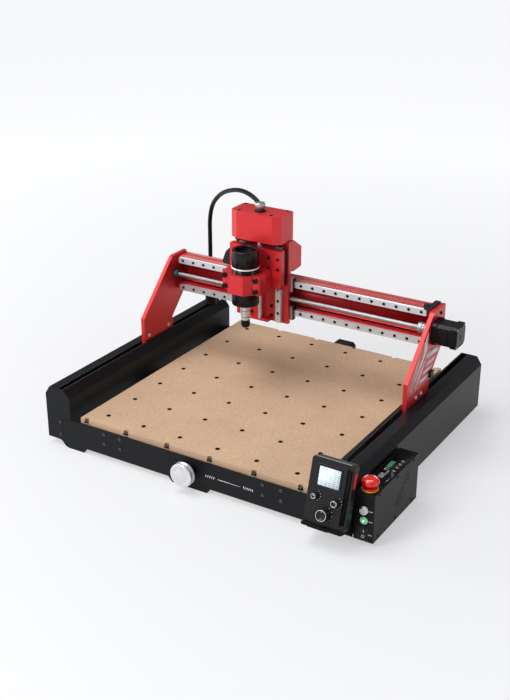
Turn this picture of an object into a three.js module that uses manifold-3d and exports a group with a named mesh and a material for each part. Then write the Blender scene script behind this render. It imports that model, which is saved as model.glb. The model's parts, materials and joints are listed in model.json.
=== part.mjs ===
// Desktop CNC router: a fixed bed between two hollow side rails, a gantry that travels along Y,
// a carriage that travels along X on the gantry beam, and a spindle slide that travels along Z.
// Millimetres, +Z up. The machine is laid out with x = 0 on its centre line, y = 0 on the front
// plate's face and z = 0 on the floor. The finished group is then moved so that its origin lies
// on the floor under the middle of the footprint.
import * as THREE from "three";
import { mergeVertices } from "three/addons/utils/BufferGeometryUtils.js";
import Module from "manifold-3d";

const wasm = await Module();
wasm.setup();

// ---------------------------------------------------------------- driving dimensions
const GAP = 0.3; // clearance between pieces that touch
const PLATE = 3; // front and rear sheet thickness
const MACHINE_DEPTH = 542;

const RAIL = {
  outer: 320.5, // half width over the two side rails
  inner: 265.5,
  slotOuter: 291.4,
  slotInner: 281,
  topOuter: 310.5,
  topInner: 277.7,
  bottom: 13,
  shoulder: 102.5, // where the upper chamfers start
  top: 118,
  innerWallFoot: 24, // the cross plate passes under the inner wall
  wall: 4,
  lip: 3,
};

const BOARD = {
  left: -243.5,
  width: 478,
  front: 5,
  depth: 546,
  top: 69.5,
  thickness: 15,
  holePitch: 80,
  holeColumns: 6,
  holeRows: 7,
  holeRadius: 3,
  holeLeft: -204.5,
  holeFront: 38,
  boltPitch: 90,
  boltCount: 6,
  boltLeft: -229.5,
  notchRadius: 5,
  notchDepth: 5.5,
};

const FRONT_PANEL = { half: 283, top: 60, bottom: 9.5, footInner: 237, centreFoot: 37, notch: 7.5 };

const BED_PROFILE = { centre: 167, width: 56, bottom: 22.5, top: 54.2 };

const Y_SCREW_Z = 35.5;
const SCREW_RADIUS = 4;

const GANTRY = {
  plateInner: 282.2,
  plateOuter: 290.2,
  front: 257,
  rear: 353,
  kneeFront: 166.5,
  kneeRear: 141.5,
  shoulderY: 315 + 38,
  shoulderZ: 263,
  crownY: 364,
  topRear: 409,
  top: 269.5,
  rearKneeTop: 199,
  plateFoot: 20.6,
};

const BEAM = { front: 379.4, back: 408.5, bottom: 194, top: 265, recess: 10 };
const GUIDE = { width: 12, height: 7.7, start: -275.9, length: 545, upperZ: 258.3, lowerZ: 200.5 };
const X_SCREW = { y: 367, z: 231 };
const MOTOR = 42.4; // square size of the three stepper motors

const HEAD_X = -69; // carriage centre with the machine in the stored pose
const HEAD = {
  baseHalf: 58.5,
  baseFront: 358,
  baseBack: 366.4,
  baseBottom: 180.5,
  baseTop: 346.7,
  guideOffset: 40,
  guideBottom: 182.5,
  guideTop: 340,
  screwY: 350,
  slideHalf: 56.5,
  slideFront: 331,
  slideBack: 345,
  slideBottom: 259.2,
  slideTop: 334.8,
};

const HOUSING = { half: 55, front: 327.5, back: 382, bottom: 347, top: 401, wall: 2.5, cutX: 16, cutY: 9 };
const CLAMP = { half: 41.5, bodyHalf: 35.5, faceHalf: 15.5, front: 262.8, ears: 279.3, split: 297 };
const CLAMP_Z = { bottom: 260.5, top: 297 };
const SPINDLE = { y: 297, radius: 26, bottom: 232.5, top: 341.2 };

const CONTROL_BOX = { left: 321.8, right: 357.3, depth: 166.5, bottom: 7.5, top: 95, wall: 2 };
const BOX_PANEL_X = 339.5; // centre line of the switches on the control box's front

const PENDANT = { left: 251, right: 327, length: 110.5, thickness: 16, tiltDeg: 16.5, footY: -42, footZ: 39.8 };

const CABLE_RADIUS = 4.5;
const BOOT = { x: -286.2, y: 502, top: 173.5 };
const GLAND = { x: -84, y: 391, seat: 348, top: 358 };

// ---------------------------------------------------------------- finishes
const finish = (color, roughness, metalness) =>
  new THREE.MeshStandardMaterial({ color, roughness, metalness });
const FINISH = {
  black: finish(0x2b2c30, 0.55, 0.4),
  plastic: finish(0x17181a, 0.5, 0.0),
  red: finish(0xb0161f, 0.38, 0.6),
  steel: finish(0xc9cbcd, 0.3, 1.0),
  silver: finish(0xe3e4e6, 0.25, 1.0),
  board: finish(0xc8a98d, 0.9, 0.0),
  rubber: finish(0x101112, 0.8, 0.0),
  emergency: finish(0xd8201c, 0.35, 0.0),
  green: finish(0x2fd86a, 0.4, 0.0),
};

// ---------------------------------------------------------------- solid helpers
function toSolid(geometry) {
  geometry.deleteAttribute("normal");
  geometry.deleteAttribute("uv");
  const merged = mergeVertices(geometry, 1e-4);
  return new wasm.Manifold(
    new wasm.Mesh({
      numProp: 3,
      vertProperties: new Float32Array(merged.attributes.position.array),
      triVerts: new Uint32Array(merged.index.array),
    })
  );
}

function toGeometry(solid) {
  const mesh = solid.getMesh();
  const geometry = new THREE.BufferGeometry();
  geometry.setAttribute("position", new THREE.BufferAttribute(new Float32Array(mesh.vertProperties), 3));
  geometry.setIndex(new THREE.BufferAttribute(new Uint32Array(mesh.triVerts), 1));
  geometry.computeVertexNormals();
  return geometry;
}

function block([x0, x1], [y0, y1], [z0, z1]) {
  const geometry = new THREE.BoxGeometry(x1 - x0, y1 - y0, z1 - z0);
  geometry.translate((x0 + x1) / 2, (y0 + y1) / 2, (z0 + z1) / 2);
  return toSolid(geometry);
}

// A straight prism: the outline lies in the plane across the named axis, given as (y,z), (x,z)
// or (x,y) pairs, and runs from one end to the other along that axis.
function prism(axis, outline, from, to) {
  const points = outline.map(([a, b]) => (axis === "y" ? new THREE.Vector2(b, a) : new THREE.Vector2(a, b)));
  const geometry = new THREE.ExtrudeGeometry(new THREE.Shape(points), { depth: to - from, bevelEnabled: false });
  const X = new THREE.Vector3(1, 0, 0);
  const Y = new THREE.Vector3(0, 1, 0);
  const Z = new THREE.Vector3(0, 0, 1);
  const frames = { x: [Y, Z, X], y: [Z, X, Y], z: [X, Y, Z] };
  geometry.translate(0, 0, from);
  geometry.applyMatrix4(new THREE.Matrix4().makeBasis(...frames[axis]));
  return toSolid(geometry);
}

// A cylinder along an axis through (a, b), the two other coordinates in X, Y, Z order.
function rod(axis, radius, from, to, [a, b], sides = 24, endRadius = radius) {
  const geometry = new THREE.CylinderGeometry(endRadius, radius, to - from, sides);
  const middle = (from + to) / 2;
  if (axis === "x") {
    geometry.rotateZ(-Math.PI / 2);
    geometry.translate(middle, a, b);
  }
  if (axis === "y") {
    geometry.translate(a, middle, b);
  }
  if (axis === "z") {
    geometry.rotateX(Math.PI / 2);
    geometry.translate(a, b, middle);
  }
  return toSolid(geometry);
}

// A turned piece around a vertical axis through (x, y); the profile holds (radius, z) pairs.
function turned(profile, [x, y], sides = 32) {
  const geometry = new THREE.LatheGeometry(profile.map(([r, z]) => new THREE.Vector2(r, z)), sides);
  geometry.rotateX(Math.PI / 2);
  geometry.translate(x, y, 0);
  return toSolid(geometry);
}

const join = (first, ...others) => others.reduce((sum, other) => sum.add(other), first);
const cut = (first, ...others) => others.reduce((rest, other) => rest.subtract(other), first);
const mirrorX = (outline) => outline.map(([x, other]) => [-x, other]);

const machine = new THREE.Group();
const parts = [];

function addPart(name, material, solid, parent = machine) {
  const mesh = new THREE.Mesh(toGeometry(solid), material);
  mesh.name = name;
  parent.add(mesh);
  parts.push(mesh);
  return mesh;
}

// ---------------------------------------------------------------- side rails and end plates
const railEnds = [PLATE, MACHINE_DEPTH - PLATE - GAP];

// The right rail's hollow section: an open channel with the gantry slot in its roof, a thick
// ledge inside the outer wall for the Y guide, and an inner wall that stops above the cross plate.
function railSection() {
  const r = RAIL;
  const ledge = 306.5;
  return [
    [r.slotOuter + 3.6, r.bottom],
    [r.outer, r.bottom],
    [r.outer, r.shoulder],
    [r.topOuter, r.top],
    [r.slotOuter, r.top],
    [r.slotOuter, r.top - r.lip],
    [r.topOuter - 2, r.top - r.lip],
    [r.outer - r.wall, r.shoulder - 3],
    [r.outer - r.wall, 82],
    [ledge, 78],
    [ledge, 58],
    [r.outer - r.wall, 54],
    [r.outer - r.wall, r.bottom + r.wall],
    [r.slotOuter + 3.6, r.bottom + r.wall],
  ];
}

function railInnerSection() {
  const r = RAIL;
  return [
    [r.inner, r.innerWallFoot],
    [r.inner + r.lip, r.innerWallFoot],
    [r.inner + r.lip, r.shoulder - 1],
    [r.topInner + 1, r.top - r.lip],
    [r.slotInner, r.top - r.lip],
    [r.slotInner, r.top],
    [r.topInner, r.top],
    [r.inner, r.shoulder],
  ];
}

// The roof lip and the inner wall are joined to the outer channel by webs at the two ends.
function endWeb(y0, y1) {
  return block([RAIL.inner + 1, RAIL.outer - 1], [y0, y1], [RAIL.innerWallFoot, 84]);
}

function buildSideRail(side) {
  const [front, back] = railEnds;
  const place = (outline) => (side === "right" ? outline : mirrorX(outline));
  const outer = prism("y", place(railSection()), front, back);
  const inner = prism("y", place(railInnerSection()), front, back);
  const webs = [endWeb(front, front + 5), endWeb(back - 5, back)];
  const placedWebs = side === "right" ? webs : webs.map((web) => web.mirror([1, 0, 0]));
  return join(outer, inner, buildFrontCap(side), ...placedWebs);
}

// The end cap closes the rail's front and keeps clear of the front panel beside it.
function buildFrontCap(side) {
  const r = RAIL;
  const panel = FRONT_PANEL;
  const outline = [
    [panel.half + GAP, 5.5],
    [panel.half + 3, 9],
    [r.slotOuter, r.bottom],
    [r.outer, r.bottom],
    [r.outer, r.shoulder],
    [r.topOuter, r.top],
    [r.topInner, r.top],
    [r.inner - 1.2, r.shoulder],
    [r.inner - 1.2, panel.top + GAP],
    [panel.half + GAP, panel.top + GAP],
  ];
  return prism("y", side === "right" ? outline : mirrorX(outline), 0, PLATE);
}

addPart("left_side_rail", FINISH.black, buildSideRail("left"));
addPart("right_side_rail", FINISH.black, buildSideRail("right"));

// Sheet with three feet that reach the floor, each cut with a 45 degree notch beside it.
function panelOutline(half, top) {
  const p = FRONT_PANEL;
  const rightHalf = [
    [p.centreFoot, 0],
    [p.centreFoot + p.notch, p.bottom],
    [p.footInner - p.notch, p.bottom],
    [p.footInner, 0],
    [half - 11, 0],
    [half - 3, 2],
    [half, 5.5],
    [half, top],
  ];
  return [...rightHalf, ...mirrorX(rightHalf).reverse()];
}

// The front sheet carries the collar in which the Y screw turns.
const frontSheet = prism("y", panelOutline(FRONT_PANEL.half, FRONT_PANEL.top), 0, PLATE);
const collar = rod("y", 14, -2.7, PLATE, [0, Y_SCREW_Z]);
const collarBore = rod("y", SCREW_RADIUS + 1.4, -4, PLATE + 1, [0, Y_SCREW_Z], 20);
addPart("front_panel", FINISH.black, cut(join(frontSheet, collar), collarBore));

// The rear sheet closes the right rail, and the left one up to its slot, which stays open for the
// cable arm.
function buildRearPanel() {
  const r = RAIL;
  const [y0, y1] = [MACHINE_DEPTH - PLATE, MACHINE_DEPTH];
  const sheet = prism("y", panelOutline(FRONT_PANEL.half, BED_PROFILE.top), y0, y1);
  const ear = [
    [FRONT_PANEL.half - 1, 5.5],
    [r.slotOuter, r.bottom],
    [r.outer, r.bottom],
    [r.outer, r.shoulder],
    [r.topOuter, r.top],
    [r.topInner, r.top],
    [r.inner, r.shoulder],
    [r.inner, 40],
    [FRONT_PANEL.half - 1, 40],
  ];
  const ears = [prism("y", ear, y0, y1), prism("y", mirrorX(ear), y0, y1)];
  const slit = block([-r.slotOuter, -r.slotInner], [y0 - 1, y1 + 1], [86, r.top + 1]);
  const shaftHole = rod("y", 12, y0 - 1, y1 + 1, [0, Y_SCREW_Z]);
  return cut(join(sheet, ...ears), slit, shaftHole);
}

addPart("rear_panel", FINISH.black, buildRearPanel());

// ---------------------------------------------------------------- bed
function buildBedProfile(centre) {
  const p = BED_PROFILE;
  const [x0, x1] = [centre - p.width / 2, centre + p.width / 2];
  const body = block([x0, x1], railEnds, [p.bottom, p.top]);
  const cavity = block([x0 + 4, x1 - 4], [0, MACHINE_DEPTH], [p.bottom + 4, p.top - 4]);
  const web = block([centre - 1.5, centre + 1.5], railEnds, [p.bottom + 1, p.top - 1]);
  return join(cut(body, cavity), web);
}

addPart("left_bed_profile", FINISH.steel, buildBedProfile(-BED_PROFILE.centre));
addPart("right_bed_profile", FINISH.steel, buildBedProfile(BED_PROFILE.centre));

function buildBoard() {
  const b = BOARD;
  const bottom = b.top - b.thickness;
  const body = block([b.left, b.left + b.width], [b.front, b.front + b.depth], [bottom, b.top]);
  const tools = [];
  for (let column = 0; column < b.holeColumns; column += 1) {
    for (let row = 0; row < b.holeRows; row += 1) {
      const centre = [b.holeLeft + column * b.holePitch, b.holeFront + row * b.holePitch];
      tools.push(rod("z", b.holeRadius, bottom - 1, b.top + 1, centre, 8));
    }
  }
  for (let bolt = 0; bolt < b.boltCount; bolt += 1) {
    for (const edge of [b.front + 1, b.front + b.depth - 1]) {
      const centre = [b.boltLeft + bolt * b.boltPitch, edge];
      tools.push(rod("z", b.notchRadius, b.top - b.notchDepth, b.top + 1, centre, 16));
    }
  }
  return cut(body, ...tools);
}

addPart("spoilboard", FINISH.board, buildBoard());

// ---------------------------------------------------------------- Y drive
const guideFace = 306.2;
for (const [side, sign] of [["left", -1], ["right", 1]]) {
  const xs = [guideFace - 10, guideFace].map((x) => x * sign).sort((a, b) => a - b);
  addPart(`${side}_y_guide`, FINISH.steel, block(xs, [12, 530], [60.5, 75.5]));
}

addPart("y_screw", FINISH.steel, rod("y", SCREW_RADIUS + 1, -4, MACHINE_DEPTH + 14, [0, Y_SCREW_Z], 20));
addPart(
  "y_handwheel",
  FINISH.silver,
  cut(
    join(rod("y", 22, -26, -12, [0, Y_SCREW_Z], 40), rod("y", 9, -12.5, -3.4, [0, Y_SCREW_Z])),
    rod("y", SCREW_RADIUS + 1 + GAP, -4.2, 0, [0, Y_SCREW_Z], 20)
  )
);

// A stepper: square body with cut corners, open behind the shaft end that it drives.
function motorOutline(a, b, size = MOTOR, corner = 4) {
  const h = size / 2;
  const c = h - corner;
  const ring = [[h, -c], [h, c], [c, h], [-c, h], [-h, c], [-h, -c], [-c, -h], [c, -h]];
  return ring.map(([u, v]) => [a + u, b + v]);
}

// Its mounting flange passes under the board's rear edge, the body stands behind it.
const boardRear = BOARD.front + BOARD.depth;
addPart(
  "y_motor",
  FINISH.black,
  cut(
    join(
      prism("y", motorOutline(0, Y_SCREW_Z, 36, 4), MACHINE_DEPTH + GAP, boardRear + 2),
      prism("y", motorOutline(0, Y_SCREW_Z + 3.5, 46, 6), boardRear + 1, 591)
    ),
    rod("y", SCREW_RADIUS + 2, MACHINE_DEPTH - 1, MACHINE_DEPTH + 18, [0, Y_SCREW_Z])
  )
);

// ---------------------------------------------------------------- gantry
function gantryOutline() {
  const g = GANTRY;
  return [
    [g.front, g.plateFoot],
    [g.rear, g.plateFoot],
    [g.rear, g.kneeRear],
    [g.topRear, g.rearKneeTop],
    [g.topRear, g.top],
    [g.crownY, g.top],
    [g.crownY - 6, g.top - 2],
    [g.shoulderY, g.shoulderZ],
    [g.front, g.kneeFront],
  ];
}

const [plateLow, plateHigh] = [GANTRY.plateInner, GANTRY.plateOuter];
const leftShaftHole = rod("x", SCREW_RADIUS + 1.2, -300, -270, [X_SCREW.y, X_SCREW.z]);
const rightShaftHole = rod("x", SCREW_RADIUS + 1.2, 270, 300, [X_SCREW.y, X_SCREW.z]);
addPart("left_gantry_plate", FINISH.red, cut(prism("x", gantryOutline(), -plateHigh, -plateLow), leftShaftHole));
addPart("right_gantry_plate", FINISH.red, cut(prism("x", gantryOutline(), plateLow, plateHigh), rightShaftHole));

addPart(
  "cross_plate",
  FINISH.black,
  block([-plateHigh, plateHigh], [275, 335], [10, GANTRY.plateFoot - GAP])
);
addPart(
  "y_nut",
  FINISH.steel,
  cut(
    block([-20, 20], [285, 325], [GANTRY.plateFoot, 50]),
    rod("y", SCREW_RADIUS + 1.4, 280, 330, [0, Y_SCREW_Z], 20)
  )
);
for (const [side, sign] of [["left", -1], ["right", 1]]) {
  const body = block([GANTRY.plateOuter + GAP, 303], [262, 348], [53, 83]);
  const channel = block([guideFace - 10 - GAP, 310], [250, 360], [60.2, 75.8]);
  const bearing = cut(body, channel);
  addPart(`${side}_y_block`, FINISH.steel, sign > 0 ? bearing : bearing.mirror([1, 0, 0]));
}

// The beam: two guide seats with a channel between them, and two slots along the back.
function buildBeam() {
  const b = BEAM;
  const deep = b.front + b.recess;
  const outline = [
    [b.front, b.bottom],
    [b.back, b.bottom],
    [b.back, b.bottom + 12],
    [b.back - 5, b.bottom + 14],
    [b.back - 5, b.bottom + 20],
    [b.back, b.bottom + 22],
    [b.back, b.top - 22],
    [b.back - 5, b.top - 20],
    [b.back - 5, b.top - 14],
    [b.back, b.top - 12],
    [b.back, b.top],
    [b.front, b.top],
    [b.front, b.top - 14.5],
    [deep, b.top - 17],
    [deep, b.bottom + 24],
    [b.front + 6, b.bottom + 20],
    [b.front + 6, b.bottom + 16],
    [b.front, b.bottom + 14.5],
  ];
  return prism("x", outline, -plateLow + GAP, plateLow - GAP);
}

addPart("x_beam", FINISH.red, buildBeam());

const guideDepth = [BEAM.front - GAP - GUIDE.height, BEAM.front - GAP];
for (const [name, z] of [["upper_x_guide", GUIDE.upperZ], ["lower_x_guide", GUIDE.lowerZ]]) {
  const half = GUIDE.width / 2;
  const [y0, y1] = guideDepth;
  const outline = [
    [y0, z - half],
    [y0 + 2.2, z - half],
    [y0 + 3, z - half + 0.8],
    [y0 + 4.4, z - half + 0.8],
    [y0 + 5.2, z - half],
    [y1, z - half],
    [y1, z + half],
    [y0 + 5.2, z + half],
    [y0 + 4.4, z + half - 0.8],
    [y0 + 3, z + half - 0.8],
    [y0 + 2.2, z + half],
    [y0, z + half],
  ];
  addPart(name, FINISH.steel, prism("x", outline, GUIDE.start, GUIDE.start + GUIDE.length));
}

addPart(
  "x_screw",
  FINISH.steel,
  join(
    rod("x", SCREW_RADIUS, -294, 308, [X_SCREW.y, X_SCREW.z], 20),
    rod("x", 10, 258, 280.5, [X_SCREW.y, X_SCREW.z])
  )
);
addPart(
  "x_end_bearing",
  FINISH.steel,
  cut(
    join(
      rod("x", 8, -plateLow + GAP, -273, [X_SCREW.y, X_SCREW.z]),
      rod("x", 12, -plateLow + GAP, -279, [X_SCREW.y, X_SCREW.z])
    ),
    rod("x", SCREW_RADIUS + 0.4, -300, -260, [X_SCREW.y, X_SCREW.z], 20)
  )
);
addPart(
  "x_motor",
  FINISH.black,
  cut(
    prism("x", motorOutline(X_SCREW.y, X_SCREW.z), plateHigh + GAP, 338.5),
    rod("x", SCREW_RADIUS + 1, 280, 312, [X_SCREW.y, X_SCREW.z])
  )
);
addPart(
  "x_end_stop",
  FINISH.plastic,
  join(
    block([270.6, 281.4], [371, 408], [BEAM.top + GAP, 272]),
    block([263.5, 271.6], [371, 378.4], [BEAM.top + GAP, 275])
  )
);

// The boot stands on the left rail's roof and hangs on an arm that runs in the slot to the gantry.
function buildCableBoot() {
  const slim = block([-287.6, -284], [GANTRY.rear + GAP, 516], [90, 104]);
  const neck = block([-287.6, -284], [494, 512], [103, 120]);
  const boot = turned(
    [[0, 118.4], [12, 118.4], [12.5, 122], [12.5, 148], [11.5, 153], [6.6, 156], [6, 160], [5, BOOT.top], [0, BOOT.top]],
    [BOOT.x, BOOT.y],
    24
  );
  return join(boot, neck, slim);
}

addPart("cable_boot", FINISH.rubber, buildCableBoot());

// ---------------------------------------------------------------- X carriage
const hx = HEAD_X;
const guideZ = { upper: GUIDE.upperZ, lower: GUIDE.lowerZ };
for (const [level, z] of Object.entries(guideZ)) {
  for (const [side, offset] of [["left", -40], ["right", 40]]) {
    const xs = [hx + offset - 22.7, hx + offset + 22.7];
    const body = block(xs, [HEAD.baseBack + GAP, 376.6], [z - 13.5, z + 13.5]);
    const channel = block([-200, 100], [guideDepth[0] - GAP, 390], [z - 6.3, z + 6.3]);
    addPart(`${level}_${side}_x_block`, FINISH.steel, cut(body, channel));
  }
}

addPart(
  "x_nut",
  FINISH.black,
  cut(
    block([hx - 25, hx + 25], [361.4, 384], [214.3, 244]),
    rod("x", SCREW_RADIUS + 0.5, -200, 100, [X_SCREW.y, X_SCREW.z], 20)
  )
);

// The base plate carries the Z guides in front and the motor mount on top, with the Z screw's
// lower bearing at its foot; a pocket in its back clears the X screw and nut.
const MOUNT_TOP = HOUSING.bottom + 5;
function buildBasePlate() {
  const h = HEAD;
  const plate = block([hx - h.baseHalf, hx + h.baseHalf], [h.baseFront, h.baseBack], [h.baseBottom, h.baseTop]);
  const pocket = block([hx - 26, hx + 26], [361, 370], [213.8, 244.5]);
  const groove = block([hx - 80, hx + 80], [361.5, 370], [X_SCREW.z - 6, X_SCREW.z + 6]);
  const foot = block([hx - 20, hx + 20], [346, h.baseFront + 1], [h.baseBottom, h.baseBottom + 6]);
  const mount = prism("z", housingOutline(HOUSING.wall + GAP), h.baseTop - 0.5, MOUNT_TOP);
  const bore = rod("z", SCREW_RADIUS + 0.6, h.baseBottom + 2, 360, [hx, h.screwY], 20);
  return cut(join(plate, foot, mount), pocket, groove, bore);
}

addPart("z_base_plate", FINISH.red, buildBasePlate());
for (const [side, sign] of [["left", -1], ["right", 1]]) {
  const x = hx + sign * HEAD.guideOffset;
  addPart(
    `${side}_z_guide`,
    FINISH.steel,
    block([x - 6, x + 6], [HEAD.baseFront - GAP - GUIDE.height, HEAD.baseFront - GAP], [HEAD.guideBottom, HEAD.guideTop])
  );
}

addPart(
  "z_motor",
  FINISH.black,
  cut(
    prism("z", motorOutline(hx, HEAD.screwY, 40, 4), MOUNT_TOP + GAP, 393),
    rod("z", SCREW_RADIUS + 0.6, 340, 400, [hx, HEAD.screwY], 20)
  )
);

function housingOutline(inset) {
  const h = HOUSING;
  const [x0, x1] = [hx - h.half + inset, hx + h.half - inset];
  const [y0, y1] = [h.front + inset, h.back - inset];
  return [
    [x0 + h.cutX, y0],
    [x1 - h.cutX, y0],
    [x1, y0 + h.cutY],
    [x1, y1 - 3],
    [x1 - 4, y1],
    [x0 + 4, y1],
    [x0, y1 - 3],
    [x0, y0 + h.cutY],
  ];
}

addPart(
  "z_motor_housing",
  FINISH.red,
  cut(
    prism("z", housingOutline(0), HOUSING.bottom, HOUSING.top),
    prism("z", housingOutline(HOUSING.wall), HOUSING.bottom - 1, HOUSING.top - 3),
    rod("z", SCREW_RADIUS + 1.5, 390, 410, [hx, HEAD.screwY])
  )
);

// A hollow cover over the wiring behind the base plate, with a boss for the cable gland.
function coverOutline(t) {
  return [
    [HEAD.baseBack + GAP, 286 + t],
    [379, 282.5 + t],
    [409 - t, 285 + t],
    [409 - t, 325 - t],
    [379, 345.5 - t],
    [HEAD.baseBack + GAP, 345.5 - t],
  ];
}

function buildRearCover() {
  const [x0, x1] = [hx - HEAD.baseHalf + 2, hx + HEAD.baseHalf - 1.5];
  const boss = rod("z", 9, 330, GLAND.seat, [GLAND.x, GLAND.y]);
  const shell = join(prism("x", coverOutline(0), x0, x1), boss);
  const insideOutline = [[HEAD.baseBack - 1, coverOutline(2.5)[0][1]], ...coverOutline(2.5).slice(1, 5)];
  const inside = [...insideOutline, [HEAD.baseBack - 1, 343]];
  return cut(
    shell,
    prism("x", inside, x0 + 2.5, x1 - 2.5),
    rod("z", CABLE_RADIUS + 0.5, 320, 360, [GLAND.x, GLAND.y])
  );
}

addPart("rear_cover", FINISH.red, buildRearCover());
addPart(
  "side_connector",
  FINISH.plastic,
  prism(
    "y",
    [[-129.2, 272.2], [-129.2, 312], [-148, 312], [-162, 298], [-170, 277], [-168, 272.2]],
    372,
    402
  )
);
addPart(
  "cable_gland",
  FINISH.rubber,
  cut(
    rod("z", 7.5, GLAND.seat + GAP, GLAND.top, [GLAND.x, GLAND.y], 24, 5.5),
    rod("z", CABLE_RADIUS - 1, 340, 353, [GLAND.x, GLAND.y])
  )
);

const zScrewTop = 403;
addPart("z_screw", FINISH.steel, rod("z", SCREW_RADIUS, HEAD.baseBottom + 3, zScrewTop, [hx, HEAD.screwY], 20));
addPart(
  "z_knob",
  FINISH.silver,
  cut(
    turned(
      [[0, 401.4], [11, 401.4], [11, 402.6], [8, 402.8], [8, 405], [9.5, 406], [9.5, 416.5], [8.7, 417.5], [0, 417.5]],
      [hx, HEAD.screwY]
    ),
    rod("z", SCREW_RADIUS + GAP, 400, zScrewTop + GAP, [hx, HEAD.screwY], 20)
  )
);

// ---------------------------------------------------------------- spindle slide
for (const [side, sign] of [["left", -1], ["right", 1]]) {
  const x = hx + sign * HEAD.guideOffset;
  const body = block([x - 13.5, x + 13.5], [HEAD.slideBack + GAP, 355], [286, 331.5]);
  const channel = block([x - 6.3, x + 6.3], [HEAD.baseFront - 2 * GAP - GUIDE.height, 370], [270, 350]);
  addPart(`${side}_z_block`, FINISH.steel, cut(body, channel));
}

// The plate in front of the blocks, with the Z screw's nut standing on its back.
function buildSlidePlate() {
  const h = HEAD;
  const plate = block([hx - h.slideHalf, hx + h.slideHalf], [h.slideFront, h.slideBack], [h.slideBottom, h.slideTop]);
  const nut = block([hx - 18, hx + 18], [h.slideBack - 1, 357.4], [290, 322]);
  return cut(join(plate, nut), rod("z", SCREW_RADIUS + 0.6, 250, 350, [hx, h.screwY], 20));
}

addPart("z_slide_plate", FINISH.red, buildSlidePlate());

const clampSpan = [CLAMP_Z.bottom, CLAMP_Z.top];
const clampBore = rod("z", SPINDLE.radius + GAP, 250, 310, [hx, SPINDLE.y], 40);

function buildClampBody() {
  const c = CLAMP;
  const outline = [
    [hx - c.half, c.split - 7],
    [hx + c.half, c.split - 7],
    [hx + c.half, c.split + 5],
    [hx + c.bodyHalf, c.split + 10],
    [hx + c.bodyHalf, HEAD.slideFront - GAP],
    [hx - c.bodyHalf, HEAD.slideFront - GAP],
    [hx - c.bodyHalf, c.split + 10],
    [hx - c.half, c.split + 5],
  ];
  return cut(prism("z", outline, ...clampSpan), clampBore);
}

function buildClampCap() {
  const c = CLAMP;
  const outline = [
    [hx - c.faceHalf, c.front],
    [hx + c.faceHalf, c.front],
    [hx + c.half - 12.5, c.ears - 1],
    [hx + c.half - 2, c.ears],
    [hx + c.half, c.ears + 2],
    [hx + c.half, c.split - 8],
    [hx - c.half, c.split - 8],
    [hx - c.half, c.ears + 2],
    [hx - c.half + 2, c.ears],
    [hx - c.half + 12.5, c.ears - 1],
  ];
  return cut(prism("z", outline, ...clampSpan), clampBore);
}

addPart("spindle_clamp", FINISH.red, buildClampBody());
addPart("clamp_cap", FINISH.red, buildClampCap());

const s = SPINDLE;
addPart(
  "spindle_body",
  FINISH.plastic,
  cut(
    turned(
      [
        [0, s.bottom],
        [24.5, s.bottom],
        [s.radius, s.bottom + 1.5],
        [s.radius, 299.5],
        [s.radius + 0.6, 300],
        [s.radius + 0.6, 303],
        [s.radius, 303.5],
        [s.radius, s.top - 1],
        [s.radius - 1, s.top],
        [20, s.top],
        [19, s.top - 4],
        [0, s.top - 4],
      ],
      [hx, s.y],
      48
    ),
    rod("z", 6.6, s.bottom - 1, s.bottom + 30, [hx, s.y])
  )
);
addPart(
  "spindle_shaft",
  FINISH.steel,
  join(
    rod("z", 6, s.bottom + 0.5, s.bottom + 28, [hx, s.y]),
    rod("z", 8.6, 199.8, s.bottom - GAP, [hx, s.y], 24, 9.6),
    rod("z", 6, s.bottom - 1, s.bottom + 1, [hx, s.y])
  )
);
addPart(
  "collet_nut",
  FINISH.black,
  cut(
    turned([[0, 184.5], [6, 184.5], [8, 187], [8, 197], [8.6, 198], [8.6, 199.5], [0, 199.5]], [hx, s.y], 24),
    rod("z", 3.2, 180, 194, [hx, s.y], 16)
  )
);

// ---------------------------------------------------------------- spindle cable
// Up from the boot, over in one arch, and down behind the motor housing into the gland.
const CABLE_ROUTE = [
  [BOOT.x, BOOT.y, BOOT.top + GAP],
  [BOOT.x, BOOT.y, 205],
  [BOOT.x, BOOT.y, 240],
  [BOOT.x, BOOT.y, 275],
  [-285.5, 501.5, 306],
  [-277, 496, 336],
  [-258, 484, 361],
  [-224, 463, 386],
  [-176, 434, 405],
  [-137, 411, 411],
  [-108, 398, 405],
  [-91, 392.5, 391],
  [GLAND.x, GLAND.y, 374],
  [GLAND.x, GLAND.y, GLAND.top + GAP],
];

function buildCable() {
  const curve = new THREE.CatmullRomCurve3(CABLE_ROUTE.map((point) => new THREE.Vector3(...point)));
  const ring = [];
  const sides = 10;
  for (let i = 0; i < sides; i += 1) {
    const angle = (2 * Math.PI * i) / sides;
    ring.push(new THREE.Vector2(CABLE_RADIUS * Math.cos(angle), CABLE_RADIUS * Math.sin(angle)));
  }
  return toSolid(new THREE.ExtrudeGeometry(new THREE.Shape(ring), { steps: 40, extrudePath: curve }));
}

addPart("spindle_cable", FINISH.rubber, buildCable());

// ---------------------------------------------------------------- control box
function buildControlBox() {
  const c = CONTROL_BOX;
  const spanY = [0, c.depth];
  const shell = cut(
    block([c.left, c.right - 2.3], spanY, [c.bottom, c.top]),
    block([c.left + c.wall, c.right], [c.wall, c.depth - c.wall], [c.bottom + c.wall, c.top - c.wall])
  );
  const switchHole = block([BOX_PANEL_X - 6.8, BOX_PANEL_X + 6.8], [-1, 5], [11.4, 32]);
  const buttonHole = rod("y", 5.2, -1, 5, [BOX_PANEL_X, 46.2]);
  const stopHole = rod("z", 6.5, 90, 100, [BOX_PANEL_X, 18]);
  const connector = cut(
    join(rod("y", 6.2, -5, 1, [BOX_PANEL_X, 65.5]), rod("y", 7.2, -1.6, 1, [BOX_PANEL_X, 65.5], 6)),
    rod("y", 4.4, -6, -1, [BOX_PANEL_X, 65.5])
  );
  return join(cut(shell, switchHole, buttonHole, stopHole), connector);
}

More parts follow.
